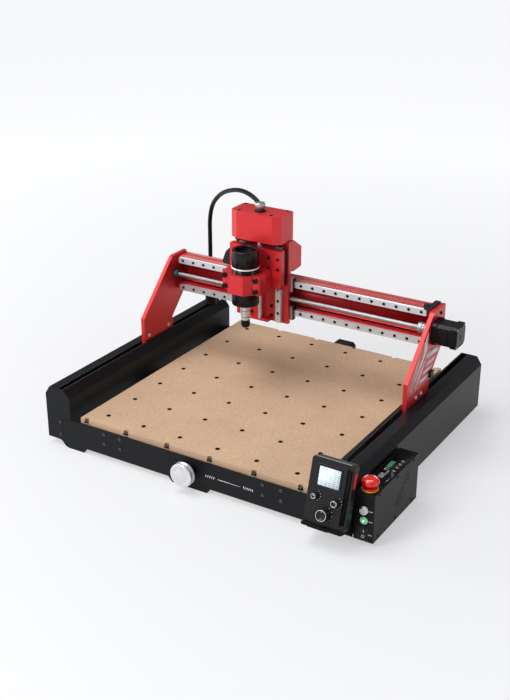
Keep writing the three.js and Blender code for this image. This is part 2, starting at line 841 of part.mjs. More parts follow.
addPart("control_box", FINISH.black, buildControlBox());
addPart(
  "control_box_cover",
  FINISH.black,
  block([CONTROL_BOX.right - 2, CONTROL_BOX.right], [0, CONTROL_BOX.depth], [CONTROL_BOX.bottom, CONTROL_BOX.top])
);
addPart(
  "emergency_stop",
  FINISH.emergency,
  join(
    rod("z", 15, 112, 117, [BOX_PANEL_X, 18], 32, 10),
    rod("z", 13.5, 105, 112.2, [BOX_PANEL_X, 18], 32, 15),
    rod("z", 5.8, 84, 105.5, [BOX_PANEL_X, 18])
  )
);
addPart("start_button", FINISH.green, rod("y", 4.5, -2.5, 9, [BOX_PANEL_X, 46.2]));
addPart(
  "power_rocker",
  FINISH.plastic,
  prism(
    "x",
    [[-2.6, 12.4], [-0.8, 21.7], [-0.4, 31.2], [4, 31], [8, 21.7], [4, 12.4]],
    BOX_PANEL_X - 6,
    BOX_PANEL_X + 6
  )
);

// ---------------------------------------------------------------- hand pendant and its cradle
// Built upright in its own frame: x across, z up the face from its lower edge, y = 0 on the
// face, then leaned back against the right rail's end cap.
const pendant = new THREE.Group();
pendant.position.set((PENDANT.left + PENDANT.right) / 2, PENDANT.footY, PENDANT.footZ);
pendant.rotation.x = THREE.MathUtils.degToRad(-PENDANT.tiltDeg);
machine.add(pendant);

const halfPendant = (PENDANT.right - PENDANT.left) / 2;
const PENDANT_KNOBS = [
  ["left_pendant_knob", -22, 47, 5.5, 10],
  ["right_pendant_knob", 15, 44, 6.5, 10],
  ["jog_wheel", -2, 20.5, 10.5, 13],
];

function roundedRectangle(half, z0, z1, radius) {
  const corners = [[half, z0, -90], [half, z1, 0], [-half, z1, 90], [-half, z0, 180]];
  const points = [];
  for (const [x, z, startDeg] of corners) {
    const centreX = x - Math.sign(x) * radius;
    const centreZ = z === z0 ? z + radius : z - radius;
    for (const stepDeg of [0, 30, 60, 90]) {
      const angle = THREE.MathUtils.degToRad(startDeg + stepDeg);
      points.push([centreX + radius * Math.cos(angle), centreZ + radius * Math.sin(angle)]);
    }
  }
  return points;
}

function buildPendantCase() {
  const holes = PENDANT_KNOBS.map(([, x, z]) => rod("y", 3.4, -1, 9, [x, z], 16));
  const groove = prism("y", roundedRectangle(4.6, 7, 104, 4.4).map(([x, z]) => [x + 30, z]), -1, 1.6);
  return cut(prism("y", roundedRectangle(halfPendant, 0, PENDANT.length, 6), 0, PENDANT.thickness), groove, ...holes);
}

addPart("pendant_case", FINISH.plastic, buildPendantCase(), pendant);
for (const [name, x, z, radius, height] of PENDANT_KNOBS) {
  const knob = join(rod("y", radius, -height, -0.6, [x, z], 24), rod("y", 3, -1, 8, [x, z], 12));
  addPart(name, FINISH.plastic, knob, pendant);
}

// The cradle: a tray below the pendant, and a back that rises between it and the end cap.
function buildCradle() {
  const [x0, x1] = [PENDANT.left, PENDANT.right - 6];
  const outline = [
    [-GAP, 8],
    [-GAP, 84],
    [-11.6, 84],
    [-26.3, 34.4],
    [-43.5, 39.4],
    [-45, 41.8],
    [-47.6, 41],
    [-47, 36],
    [-44, 33.6],
    [-30, 29.6],
    [-14, 20],
  ];
  return prism("x", outline, x0, x1);
}

addPart("pendant_cradle", FINISH.plastic, buildCradle());

// ---------------------------------------------------------------- origin
// The cable's own node is left out of the footprint, as it hangs free of it.
machine.updateMatrixWorld(true);
const footprint = new THREE.Box3();
for (const part of parts) {
  if (part.name !== "spindle_cable") footprint.expandByObject(part, true);
}
const middle = footprint.getCenter(new THREE.Vector3());
machine.position.set(-middle.x, -middle.y, -footprint.min.z);
machine.updateMatrixWorld(true);

export default machine;
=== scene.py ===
"""Looks for the desktop CNC router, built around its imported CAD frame."""
import json
import math
from itertools import product

import bmesh
import bpy
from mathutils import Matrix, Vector

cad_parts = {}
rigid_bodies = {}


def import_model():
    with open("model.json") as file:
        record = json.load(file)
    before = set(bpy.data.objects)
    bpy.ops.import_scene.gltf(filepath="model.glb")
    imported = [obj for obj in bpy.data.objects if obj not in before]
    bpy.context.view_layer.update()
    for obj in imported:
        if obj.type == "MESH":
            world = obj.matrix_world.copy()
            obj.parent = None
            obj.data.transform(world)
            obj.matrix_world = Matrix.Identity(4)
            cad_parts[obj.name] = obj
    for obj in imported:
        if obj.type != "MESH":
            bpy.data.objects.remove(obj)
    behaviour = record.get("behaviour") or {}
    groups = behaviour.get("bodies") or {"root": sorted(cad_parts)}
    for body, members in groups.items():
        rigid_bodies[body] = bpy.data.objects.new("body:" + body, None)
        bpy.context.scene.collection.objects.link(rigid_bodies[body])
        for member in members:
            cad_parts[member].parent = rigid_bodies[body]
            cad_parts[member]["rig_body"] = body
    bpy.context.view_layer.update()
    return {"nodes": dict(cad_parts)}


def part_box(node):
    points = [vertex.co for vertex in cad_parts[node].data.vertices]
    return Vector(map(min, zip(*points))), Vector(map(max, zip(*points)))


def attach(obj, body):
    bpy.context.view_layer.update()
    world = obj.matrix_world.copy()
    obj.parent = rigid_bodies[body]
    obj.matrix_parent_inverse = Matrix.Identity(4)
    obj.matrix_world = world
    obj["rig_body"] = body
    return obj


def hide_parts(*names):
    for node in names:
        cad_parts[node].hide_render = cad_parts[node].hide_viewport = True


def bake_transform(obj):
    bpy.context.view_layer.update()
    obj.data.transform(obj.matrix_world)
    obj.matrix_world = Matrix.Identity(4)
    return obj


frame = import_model()
nodes = frame["nodes"]

# Machine millimetres: x from the machine's centre line, y from the front panel's face, z from the floor.
left_rail_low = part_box("left_side_rail")[0]
right_rail_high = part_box("right_side_rail")[1]
MACHINE_ORIGIN = Vector(((left_rail_low.x + right_rail_high.x) / 2, left_rail_low.y, 0))
HEAD_X = -69.0  # centre of the X carriage and the spindle
SPINDLE_AXIS = (HEAD_X, 297.0, 0)
Z_SCREW_AXIS = (HEAD_X, 350.0, 0)
X_SCREW_Y = 367  # the X motor sits on the same axis
X_SCREW_Z = 231
X_SCREW_AXIS = (0, X_SCREW_Y, X_SCREW_Z)
PLATE_OUTER_X = 290.2  # outer and inner faces of the gantry's side plates
PLATE_INNER_X = 282.2
BOX_X = 339.5  # centre line of the control box's front
BOX_SIDE_X = 357.3
STOP_AXIS = (BOX_X, 18, 0)
START_CENTRE = (BOX_X, 0, 46.2)
CONNECTOR_Z = 65.5
CONNECTOR_CENTRE = (BOX_X, 0, CONNECTOR_Z)
GUIDE_PITCH = 25  # from hole to hole along every linear guide
PRINT_ON_FRONT = (-0.12, 0.05)  # y range of the marks printed on a front face
FACE_TILT = math.radians(16.5)  # the pendant leans back by this much


def at(x, y, z):
    """A point given in machine millimetres, in the row frame in metres."""
    return MACHINE_ORIGIN + Vector((x, y, z)) / 1000


def machine_box(node):
    """The low and the high corner of a CAD node, in machine millimetres."""
    return ((corner - MACHINE_ORIGIN) * 1000 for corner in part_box(node))


def grid(xs, ys, zs):
    """Every place with one of the xs, one of the ys and one of the zs."""
    return list(product(xs, ys, zs))


def around(centre, radius, degrees):
    """The first two coordinates of a point on a circle about a centre."""
    angle = math.radians(degrees)
    return centre[0] + radius * math.cos(angle), centre[1] + radius * math.sin(angle)


# -------------------- materials
def new_material(name):
    """A new material, with its nodes, its links and its shader node."""
    material = bpy.data.materials.new(name)
    material.use_nodes = True
    shader = material.node_tree.nodes["Principled BSDF"]
    return material, material.node_tree.nodes, material.node_tree.links, shader


def object_noise(tree_nodes, links, scale, stretch=(1, 1, 1), detail=4.0):
    """Noise that is fixed to the object, drawn out along an axis where stretch is below 1."""
    coords = tree_nodes.new("ShaderNodeTexCoord")
    mapping = tree_nodes.new("ShaderNodeMapping")
    mapping.inputs["Scale"].default_value = stretch
    noise = tree_nodes.new("ShaderNodeTexNoise")
    noise.inputs["Scale"].default_value = scale
    noise.inputs["Detail"].default_value = detail
    links.new(coords.outputs["Object"], mapping.inputs["Vector"])
    links.new(mapping.outputs["Vector"], noise.inputs["Vector"])
    return noise


def map_range(tree_nodes, links, value, low, high):
    """The middle of a noise's values, spread from low to high."""
    scaled = tree_nodes.new("ShaderNodeMapRange")
    scaled.inputs["From Min"].default_value = 0.3
    scaled.inputs["From Max"].default_value = 0.7
    scaled.inputs["To Min"].default_value = low
    scaled.inputs["To Max"].default_value = high
    links.new(value, scaled.inputs["Value"])
    return scaled.outputs["Result"]


def color_blend(tree_nodes, links, factor, first, second):
    """A colour between first and second."""
    blend = tree_nodes.new("ShaderNodeMix")
    blend.data_type = "RGBA"
    blend.inputs["A"].default_value = (*first, 1)
    blend.inputs["B"].default_value = (*second, 1)
    links.new(factor, blend.inputs["Factor"])
    return blend.outputs["Result"]


def surface(name, color, roughness, metallic=0.0, grain=1500.0, bump=0.08, spread=0.06, tint=0.12,
            coat=0.0, stretch=(1, 1, 1), specular=0.5):
    """A finished metal, paint or plastic: fine grain, uneven gloss, slight colour drift, softened edges."""
    material, tree_nodes, links, shader = new_material(name)
    fine = object_noise(tree_nodes, links, grain, stretch)
    broad = object_noise(tree_nodes, links, 18.0, (1, 1, 1), 3.0)
    darker = tuple(c * (1 - tint) for c in color)
    lighter = tuple(min(1, c * (1 + tint)) for c in color)
    factor = map_range(tree_nodes, links, broad.outputs["Fac"], 0.0, 1.0)
    links.new(color_blend(tree_nodes, links, factor, darker, lighter), shader.inputs["Base Color"])
    gloss = map_range(tree_nodes, links, fine.outputs["Fac"], roughness - spread, roughness + spread)
    links.new(gloss, shader.inputs["Roughness"])
    shader.inputs["Metallic"].default_value = metallic
    shader.inputs["Specular IOR Level"].default_value = specular
    shader.inputs["Coat Weight"].default_value = coat
    shader.inputs["Coat Roughness"].default_value = 0.15
    soften = tree_nodes.new("ShaderNodeBevel")
    soften.samples = 4
    soften.inputs["Radius"].default_value = 0.0004
    relief = tree_nodes.new("ShaderNodeBump")
    relief.inputs["Strength"].default_value = bump
    relief.inputs["Distance"].default_value = 0.0002
    links.new(fine.outputs["Fac"], relief.inputs["Height"])
    links.new(soften.outputs["Normal"], relief.inputs["Normal"])
    links.new(relief.outputs["Normal"], shader.inputs["Normal"])
    return material


def fibreboard(name):
    """Raw fibreboard: pressed fibres, scattered dark flecks and a faint cloudiness."""
    material, tree_nodes, links, shader = new_material(name)
    fibres = object_noise(tree_nodes, links, 700.0, (1, 0.6, 1), 8.0)
    clouds = object_noise(tree_nodes, links, 12.0, (1, 1, 1), 3.0)
    flecks = object_noise(tree_nodes, links, 1600.0, (1, 1, 1), 2.0)
    pale = (0.54, 0.372, 0.247)
    deep = (0.37, 0.238, 0.149)
    ground = color_blend(
        tree_nodes, links, map_range(tree_nodes, links, fibres.outputs["Fac"], 0.0, 1.0), deep, pale
    )
    speckled = tree_nodes.new("ShaderNodeMix")
    speckled.data_type = "RGBA"
    speckled.inputs["B"].default_value = (0.2, 0.115, 0.06, 1)
    threshold = tree_nodes.new("ShaderNodeMapRange")
    threshold.inputs["From Min"].default_value = 0.6
    threshold.inputs["From Max"].default_value = 0.72
    threshold.inputs["To Max"].default_value = 0.6
    links.new(flecks.outputs["Fac"], threshold.inputs["Value"])
    links.new(threshold.outputs["Result"], speckled.inputs["Factor"])
    links.new(ground, speckled.inputs["A"])
    cloudy = tree_nodes.new("ShaderNodeHueSaturation")
    links.new(map_range(tree_nodes, links, clouds.outputs["Fac"], 0.95, 1.05), cloudy.inputs["Value"])
    links.new(speckled.outputs["Result"], cloudy.inputs["Color"])
    links.new(cloudy.outputs["Color"], shader.inputs["Base Color"])
    shader.inputs["Roughness"].default_value = 0.88
    relief = tree_nodes.new("ShaderNodeBump")
    relief.inputs["Strength"].default_value = 0.35
    relief.inputs["Distance"].default_value = 0.0003
    links.new(fibres.outputs["Fac"], relief.inputs["Height"])
    links.new(relief.outputs["Normal"], shader.inputs["Normal"])
    return material


def display(name):
    """A lit display with plain rows of light and dark cells."""
    material, tree_nodes, links, shader = new_material(name)
    coords = tree_nodes.new("ShaderNodeTexCoord")
    turn = tree_nodes.new("ShaderNodeMapping")
    turn.inputs["Rotation"].default_value = (math.radians(90), 0, 0)
    cells = tree_nodes.new("ShaderNodeTexBrick")
    cells.offset = 0.0
    cells.inputs["Scale"].default_value = 100.0
    cells.inputs["Mortar Size"].default_value = 0.05
    cells.inputs["Brick Width"].default_value = 0.7
    cells.inputs["Row Height"].default_value = 0.3
    cells.inputs["Color1"].default_value = (0.5, 0.6, 0.66, 1)
    cells.inputs["Color2"].default_value = (0.34, 0.46, 0.46, 1)
    cells.inputs["Mortar"].default_value = (0.78, 0.84, 0.9, 1)
    links.new(coords.outputs["Object"], turn.inputs["Vector"])
    links.new(turn.outputs["Vector"], cells.inputs["Vector"])
    links.new(cells.outputs["Color"], shader.inputs["Base Color"])
    links.new(cells.outputs["Color"], shader.inputs["Emission Color"])
    shader.inputs["Emission Strength"].default_value = 0.3
    shader.inputs["Roughness"].default_value = 0.15
    return material


def glow(material, color, strength):
    """Lets a material give off light of its own."""
    shader = material.node_tree.nodes["Principled BSDF"]
    shader.inputs["Emission Color"].default_value = (*color, 1)
    shader.inputs["Emission Strength"].default_value = strength


BLACK = surface("black_anodised", (0.0065, 0.007, 0.0085), 0.36, bump=0.05, specular=0.16)
BLACK_PANEL = surface("black_powder_coat", (0.004, 0.0045, 0.0055), 0.45, grain=2600, bump=0.12,
                      specular=0.19)
MOTOR_BLACK = surface("motor_black", (0.003, 0.003, 0.0035), 0.3, bump=0.06, specular=0.2)
RED = surface("red_anodised", (0.6, 0.02, 0.023), 0.33, 0.3, grain=3000, bump=0.04, tint=0.05, specular=0.5)
# Painted shade: a darker red that stands for the shade in the beam's recess.
SHADE_RED = surface("painted_shade_red", (0.3, 0.006, 0.01), 0.45, 0.2, tint=0.05, specular=0.3)
STEEL = surface("ground_steel", (0.6, 0.62, 0.65), 0.36, 0.55, spread=0.03, stretch=(0.02, 1, 1), bump=0.02,
                tint=0.03)
Z_STEEL = surface("ground_steel_upright", (0.6, 0.62, 0.65), 0.34, 0.55, spread=0.03, stretch=(1, 1, 0.02),
                  bump=0.02, tint=0.03)
# Black oxide of screws and small parts, also used for strips of painted shade in the gap behind the slide.
BLACK_OXIDE_AND_SHADE = surface("black_oxide_and_painted_shade", (0.0035, 0.004, 0.0045), 0.3, spread=0.03, bump=0.02, specular=0.22)
SCREW_ROD = surface("lead_screw_steel", (0.27, 0.28, 0.29), 0.4, 0.6, spread=0.03, bump=0.02, tint=0.03)
SILVER = surface("turned_aluminium", (0.45, 0.46, 0.48), 0.3, 0.85, spread=0.03, bump=0.02, tint=0.03)
PALE_SILVER = surface("faced_aluminium", (0.7, 0.71, 0.73), 0.3, 0.55, spread=0.03, bump=0.02, tint=0.02)
BED = surface("bare_aluminium", (0.5, 0.51, 0.52), 0.4, 0.8, stretch=(1, 0.02, 1))
BOARD = fibreboard("fibreboard")
# Painted shade: near black that stands for the shade inside holes, notches and slots.
HOLE_SHADE = surface("hole_shadow", (0.006, 0.004, 0.003), 0.9, specular=0.1)
PLASTIC = surface("moulded_plastic", (0.006, 0.006, 0.007), 0.38, grain=2200, bump=0.12, specular=0.34)
GLOSS_PLASTIC = surface("gloss_plastic", (0.004, 0.004, 0.005), 0.14, spread=0.02, bump=0.0, specular=0.4)
RUBBER = surface("rubber", (0.0025, 0.0025, 0.003), 0.4, bump=0.06, specular=0.15)
E_RED = surface("stop_red", (0.7, 0.012, 0.008), 0.2, coat=0.3, tint=0.03, bump=0.0)
YELLOW = surface("warning_yellow", (0.85, 0.5, 0.02), 0.4, tint=0.03)
GREEN = surface("start_green", (0.04, 0.7, 0.22), 0.3, tint=0.03)
PALE_GREEN = surface("lit_green", (0.6, 0.95, 0.7), 0.4, tint=0.03)
DULL_GREEN = surface("printed_green", (0.06, 0.3, 0.13), 0.5, tint=0.03)
PRINT = surface("white_print", (0.78, 0.78, 0.78), 0.55, tint=0.03, specular=0.3)
# Grey for a painted highlight along the pendant's top edge.
EDGE_HIGHLIGHT_GREY = surface("painted_edge_highlight", (0.3, 0.31, 0.32), 0.55, tint=0.03, specular=0.3)
PALE_PRINT = surface("pale_print", (0.5, 0.5, 0.51), 0.55, tint=0.03, specular=0.3)
ENGRAVED = surface("engraved_red", (0.92, 0.5, 0.47), 0.5, tint=0.03)
# Pale grey for bright metal parts, also used where screws, rims and knobs are lightened as painted highlights
# and glints.
BRIGHT_METAL_AND_HIGHLIGHT = surface("bright_metal_and_painted_highlight", (0.8, 0.8, 0.82), 0.3, 0.2, spread=0.02, tint=0.02, bump=0.0)
# Dark grey used as painted sheen on the front panel's black screws and as painted shade in the shaft's
# grooves.
GREY_SHEEN_AND_SHADE = surface("grey_painted_sheen_and_shade", (0.05, 0.052, 0.055), 0.4, tint=0.02, bump=0.0)
# Dark grey of bolt heads and the bearing, also used for thin painted highlights along edges.
BOLT_GREY_AND_HIGHLIGHT = surface("bolt_grey_and_painted_highlight", (0.09, 0.095, 0.11), 0.3, 0.6, tint=0.02, bump=0.0)
# Flat black for dark parts, also used as painted shade in grooves, holes, recesses and on the pendant's
# cradle.
BLACK_AND_SHADE = surface("black_and_painted_shade", (0.002, 0.002, 0.0022), 0.6, tint=0.02, bump=0.0, specular=0.1)
SPINDLE_BLACK = surface("spindle_black", (0.003, 0.003, 0.004), 0.26, spread=0.02, bump=0.0, specular=0.26)
SCREEN = display("lit_display")
glow(GREEN, (0.05, 0.9, 0.3), 0.45)
glow(PALE_GREEN, (0.7, 1, 0.8), 0.8)

X_BLOCKS = ["upper_left_x_block", "upper_right_x_block", "lower_left_x_block", "lower_right_x_block"]

# Which CAD nodes wear each material.
CAD_MATERIALS = {
    BLACK: ["left_side_rail", "right_side_rail", "cross_plate", "x_nut"],
    BLACK_PANEL: ["front_panel", "rear_panel", "control_box", "control_box_cover"],
    MOTOR_BLACK: ["y_motor", "x_motor", "z_motor"],
    RED: ["left_gantry_plate", "right_gantry_plate", "x_beam", "z_base_plate", "z_slide_plate", "rear_cover",
          "spindle_clamp", "clamp_cap", "z_motor_housing"],
    STEEL: ["left_y_guide", "right_y_guide", "upper_x_guide", "lower_x_guide", "left_y_block",
            "right_y_block", *X_BLOCKS, "x_screw", "y_screw", "y_nut", "x_end_bearing"],
    Z_STEEL: ["left_z_guide", "right_z_guide", "left_z_block", "right_z_block", "z_screw", "spindle_shaft"],
    SILVER: ["y_handwheel", "z_knob"],
    BED: ["left_bed_profile", "right_bed_profile"],
    BOARD: ["spoilboard"],
    GLOSS_PLASTIC: ["spindle_body", "collet_nut"],
    # The pendant's cradle is flat black as painted shade: it sits in the shadow under the pendant.
    BLACK_AND_SHADE: ["pendant_cradle"],
    PLASTIC: ["pendant_case", "left_pendant_knob", "right_pendant_knob", "jog_wheel",
              "power_rocker", "side_connector", "x_end_stop"],
    RUBBER: ["cable_boot", "cable_gland", "spindle_cable"],
    E_RED: ["emergency_stop"],
    GREEN: ["start_button"],
}
for cad_material, names in CAD_MATERIALS.items():
    for node_name in names:
        nodes[node_name].data.materials.clear()
        nodes[node_name].data.materials.append(cad_material)

# -------------------- shapes
DIRECTIONS = {
    "+x": Vector((1, 0, 0)), "-x": Vector((-1, 0, 0)),
    "+y": Vector((0, 1, 0)), "-y": Vector((0, -1, 0)),
    "+z": Vector((0, 0, 1)), "-z": Vector((0, 0, -1)),
}
FACE_OUT = Vector((0, -math.cos(FACE_TILT), math.sin(FACE_TILT)))  # out of the pendant's face


class Shape:
    """Gathers solids in machine millimetres, then becomes one piece that rides on a body."""

    def __init__(self):
        self.bm = bmesh.new()

    def cuboid(self, places):
        """Six faces on eight corners, where the last of the three directions changes fastest."""
        corners = [self.bm.verts.new(at(*place)) for place in places]
        for loop in ((0, 1, 3, 2), (4, 6, 7, 5), (0, 4, 5, 1), (2, 3, 7, 6), (0, 2, 6, 4), (1, 5, 7, 3)):
            self.bm.faces.new([corners[i] for i in loop])

    def block(self, xs, ys, zs):
        self.cuboid(product(xs, ys, zs))

    def turned(self, profile, base, direction="+z", sides=48):
        """Turns (radius, height) pairs about a line through base; open ends stay open."""
        out = DIRECTIONS[direction] if isinstance(direction, str) else direction
        spin = out.to_track_quat("Z", "Y").to_matrix()
        origin = at(*base)
        rings = []
        for radius, height in profile:
            if radius == 0:
                rings.append([self.bm.verts.new(origin + spin @ Vector((0, 0, height / 1000)))])
                continue
            ring = []
            for i in range(sides):
                angle = 2 * math.pi * i / sides
                offset = Vector((radius * math.cos(angle), radius * math.sin(angle), height)) / 1000
                ring.append(self.bm.verts.new(origin + spin @ offset))
            rings.append(ring)
        for low, high in zip(rings, rings[1:]):
            for i in range(sides):
                j = (i + 1) % sides
                corners = [low[i % len(low)], low[j % len(low)], high[j % len(high)], high[i % len(high)]]
                self.bm.faces.new(list(dict.fromkeys(corners)))

    def prism(self, axis, outline, start, end):
        """A straight prism; the outline holds (y,z), (x,z) or (x,y) pairs for axis x, y or z."""
        def point(a, b, along):
            return {"x": at(along, a, b), "y": at(a, along, b), "z": at(a, b, along)}[axis]

        low = [self.bm.verts.new(point(a, b, start)) for a, b in outline]
        high = [self.bm.verts.new(point(a, b, end)) for a, b in outline]
        self.bm.faces.new(low)
        self.bm.faces.new(high)
        for i in range(len(outline)):
            j = (i + 1) % len(outline)
            self.bm.faces.new([low[i], low[j], high[j], high[i]])

    def screw(self, base, direction, radius, height):
        """A socket-head screw with a hexagonal recess."""
        hexagon = radius * 0.5
        self.turned(
            [(radius, 0), (radius, height - 0.4), (radius - 0.4, height), (hexagon + 0.3, height)],
            base, direction, 20,
        )
        self.turned(
            [(hexagon + 0.32, height), (hexagon, height - 0.3), (hexagon, height - 1.4), (0, height - 1.4)],
            base, direction, 6,
        )

    def place(self, name, body, material, bevel=0.3, replaces=()):
        bmesh.ops.recalc_face_normals(self.bm, faces=self.bm.faces)
        mesh = bpy.data.meshes.new(name)
        self.bm.to_mesh(mesh)
        self.bm.free()
        mesh.materials.append(material)
        finish_piece(bpy.data.objects.new(name, mesh), body, bevel, replaces)


def finish_piece(piece, body, bevel, replaces=()):
    """Smooths and bevels a piece, then says what it rides on and the CAD nodes it stands for."""
    bpy.context.scene.collection.objects.link(piece)
    for polygon in piece.data.polygons:
        polygon.use_smooth = True
    if bevel:
        rounding = piece.modifiers.new("rounding", "BEVEL")
        rounding.width = bevel / 1000
        rounding.segments = 2
        rounding.limit_method = "ANGLE"
        rounding.angle_limit = math.radians(28)
        rounding.harden_normals = True
    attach(piece, body)
    if replaces:
        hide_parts(*replaces)


def turned_piece(name, body, material, profile, base, direction="+z", sides=64, bevel=0, replaces=()):
    """A piece that is one turned shape."""
    shape = Shape()
    shape.turned(profile, base, direction, sides)
    shape.place(name, body, material, bevel, replaces)


def screws(name, body, material, places, direction, radius, height, bevel):
    """A piece that holds one size of screw, all pointing the same way."""
    shape = Shape()
    for place in places:
        shape.screw(place, direction, radius, height)
    shape.place(name, body, material, bevel)


def carved(name, node, material, cutters):
    """A detailed copy of a CAD node with the cutters' shapes taken out of it."""
    piece = bpy.data.objects.new(name, nodes[node].data.copy())
    piece.data.materials.clear()
    piece.data.materials.append(material)
    bpy.context.scene.collection.objects.link(piece)

    # The CAD triangles are merged into whole faces, so that the bevel finds only real edges.
    clean = bmesh.new()
    clean.from_mesh(piece.data)
    bmesh.ops.remove_doubles(clean, verts=clean.verts, dist=1e-6)
    bmesh.ops.dissolve_limit(clean, angle_limit=math.radians(1), verts=clean.verts, edges=clean.edges)
    clean.to_mesh(piece.data)
    clean.free()

    bmesh.ops.recalc_face_normals(cutters.bm, faces=cutters.bm.faces)
    cutter_mesh = bpy.data.meshes.new(name + "_cutter")
    cutters.bm.to_mesh(cutter_mesh)
    cutters.bm.free()
    cutter = bpy.data.objects.new(name + "_cutter", cutter_mesh)
    bpy.context.scene.collection.objects.link(cutter)
    drill = piece.modifiers.new("drill", "BOOLEAN")
    drill.operation = "DIFFERENCE"
    drill.object = cutter
    drill.solver = "EXACT"
    bpy.context.view_layer.update()
    evaluated = piece.evaluated_get(bpy.context.evaluated_depsgraph_get())
    piece.data = bpy.data.meshes.new_from_object(evaluated)
    piece.modifiers.clear()
    bpy.data.objects.remove(cutter)
    bpy.context.scene.collection.objects.unlink(piece)
    if piece.data.has_custom_normals:
        piece.data.attributes.remove(piece.data.attributes["custom_normal"])
    finish_piece(piece, nodes[node]["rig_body"], 0.25, (node,))


def drilled_guide(node, body, material, places):
    """A linear guide with a hole at each place along its front face, and a sunken bolt in each hole."""
    holes = Shape()
    bolts = Shape()
    for place in places:
        holes.turned([(0, -1), (3.1, -1), (3.1, 4.2), (0, 4.2)], place, "+y", 24)
        bolts.turned([(0, 2.6), (1.4, 2.6), (1.4, 1.2), (2.8, 1.2), (2.8, 4.2)], place, "+y", 20)
    carved(node + "_drilled", node, material, holes)
    bolts.place(node + "_bolts", body, BLACK_OXIDE_AND_SHADE, 0.1)


# -------------------- camera
camera_data = bpy.data.cameras.new("camera")
camera_data.lens = 58.44
camera_data.sensor_width = 36
camera = bpy.data.objects.new("camera", camera_data)
bpy.context.scene.collection.objects.link(camera)
AZIMUTH = math.radians(31.684)
ELEVATION = math.radians(24.06)
looking = Vector((
    -math.sin(AZIMUTH) * math.cos(ELEVATION),
    math.cos(AZIMUTH) * math.cos(ELEVATION),
    -math.sin(ELEVATION),
))
camera.rotation_euler = looking.to_track_quat("-Z", "Y").to_euler()
camera.location = at(1002.6, -1404.8, 1033.0)
bpy.context.scene.camera = camera

# -------------------- spindle cable
CABLE_DIAMETER = 9.0
CABLE_FOOT = (-286.2, 502)  # x and y of the boot
CABLE_ROUTE = [(*CABLE_FOOT, z) for z in (173.8, 190, 205, 222, 240, 258, 275)] + [
    (-285.5, 501.5, 306), (-277, 496, 336), (-258, 484, 361), (-224, 463, 386), (-176, 434, 405),
    (-137, 411, 411), (-108, 398, 405), (-91, 392.5, 391), (-84, 391, 374), (-84, 391, 358.3),
]


def smooth_route(points, steps):
    """Points along a smooth curve through the given ones."""
    line = []
    padded = [points[0], *points, points[-1]]
    for before, start, end, after in zip(padded, padded[1:], padded[2:], padded[3:]):
        for step in range(steps):
            t = step / steps
            line.append(
                0.5 * (2 * start + (end - before) * t + (2 * before - 5 * start + 4 * end - after) * t * t
                       + (3 * start - before - 3 * end + after) * t ** 3)
            )
    return [*line, points[-1]]


def tube(name, line, radius, sides=20):
    """A tube along the line, its section carried along without twist."""
    bm = bmesh.new()
    across = Vector((1, 0, 0))
    rings = []
    for i, point in enumerate(line):
        ahead = (line[min(i + 1, len(line) - 1)] - line[max(i - 1, 0)]).normalized()
        across = (across - ahead * across.dot(ahead)).normalized()
        beside = ahead.cross(across)
        ring = []
        for k in range(sides):
            angle = 2 * math.pi * k / sides
            ring.append(bm.verts.new(point + radius * (across * math.cos(angle) + beside * math.sin(angle))))
        rings.append(ring)
    for low, high in zip(rings, rings[1:]):
        for k in range(sides):
            j = (k + 1) % sides
            bm.faces.new([low[k], low[j], high[j], high[k]])
    bm.faces.new(rings[0][::-1])
    bm.faces.new(rings[-1])
    mesh = bpy.data.meshes.new(name)
    bm.to_mesh(mesh)
    bm.free()
    mesh.materials.append(RUBBER)
    for polygon in mesh.polygons:
        polygon.use_smooth = True
    piece = bpy.data.objects.new(name, mesh)
    bpy.context.scene.collection.objects.link(piece)
    return piece


route = smooth_route([at(*point) for point in CABLE_ROUTE], 4)
cable = tube("cable_flex", route, CABLE_DIAMETER / 2000)
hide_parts("spindle_cable")
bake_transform(cable)

# The ribbed boot at the cable's foot, on the arm that runs in the left rail's slot.
boot = Shape()
boot.turned(
    [(0, 118.5), (12.1, 118.5), (12.6, 120), (12.6, 121.6), (11.9, 122.4), (11.9, 124), (12.5, 125),
     (12.5, 148), (12.1, 150.5), (11, 153), (9, 155), (6.9, 156), (6.5, 158), (6, 159), (6.3, 160),
     (6.3, 161.6), (5.7, 162.3), (5.7, 163.6), (6, 164.2), (6, 165.8), (5.4, 166.5), (5.4, 168), (5.6, 168.6),
     (5.6, 170.4), (5.2, 171.4), (5.2, 173.6), (4.8, 174), (0, 174)],
    (*CABLE_FOOT, 0),
)
ARM_X = (-287.6, -284)
boot.block(ARM_X, (353.3, 516), (90, 104))
boot.block(ARM_X, (494, 512), (103, 119))
boot.place("cable_boot_moulded", "gantry", RUBBER, 0.3, ("cable_boot",))

# -------------------- frame details
END_SCREW_X = (-186.5, -150.5, 150.5, 186.5)  # columns of screws in both the front and the rear panel
front_screw_places = grid(END_SCREW_X, (0,), (32.5, 52.5)) + grid((-289.5, 289.5), (0,), (24.5, 50.5))
rear_screw_places = grid((-300, *END_SCREW_X, 300), (542,), (28, 44))
# The front panel's screws are dark grey, lighter than black, as painted sheen on their heads.
screws("panel_screws", "frame", GREY_SHEEN_AND_SHADE, front_screw_places, "-y", 3.1, 1.6, 0.15)
screws("rear_screws", "frame", BLACK_OXIDE_AND_SHADE, rear_screw_places, "+y", 3.1, 1.6, 0.15)

# Slanted marks at both ends of a thin printed line, on the front panel.
front_marks = Shape()
for start, slant in ((34, 2), (114, -2)):
    for i in range(5):
        x = start + 4.2 * i
        outline = [(x, 32), (x + 1.3, 32), (x + 1.3 + slant, 37), (x + slant, 37)]
        front_marks.prism("y", outline, *PRINT_ON_FRONT)
front_marks.block((60, 106), PRINT_ON_FRONT, (34, 34.9))
front_marks.place("front_panel_marks", "frame", PRINT, 0)

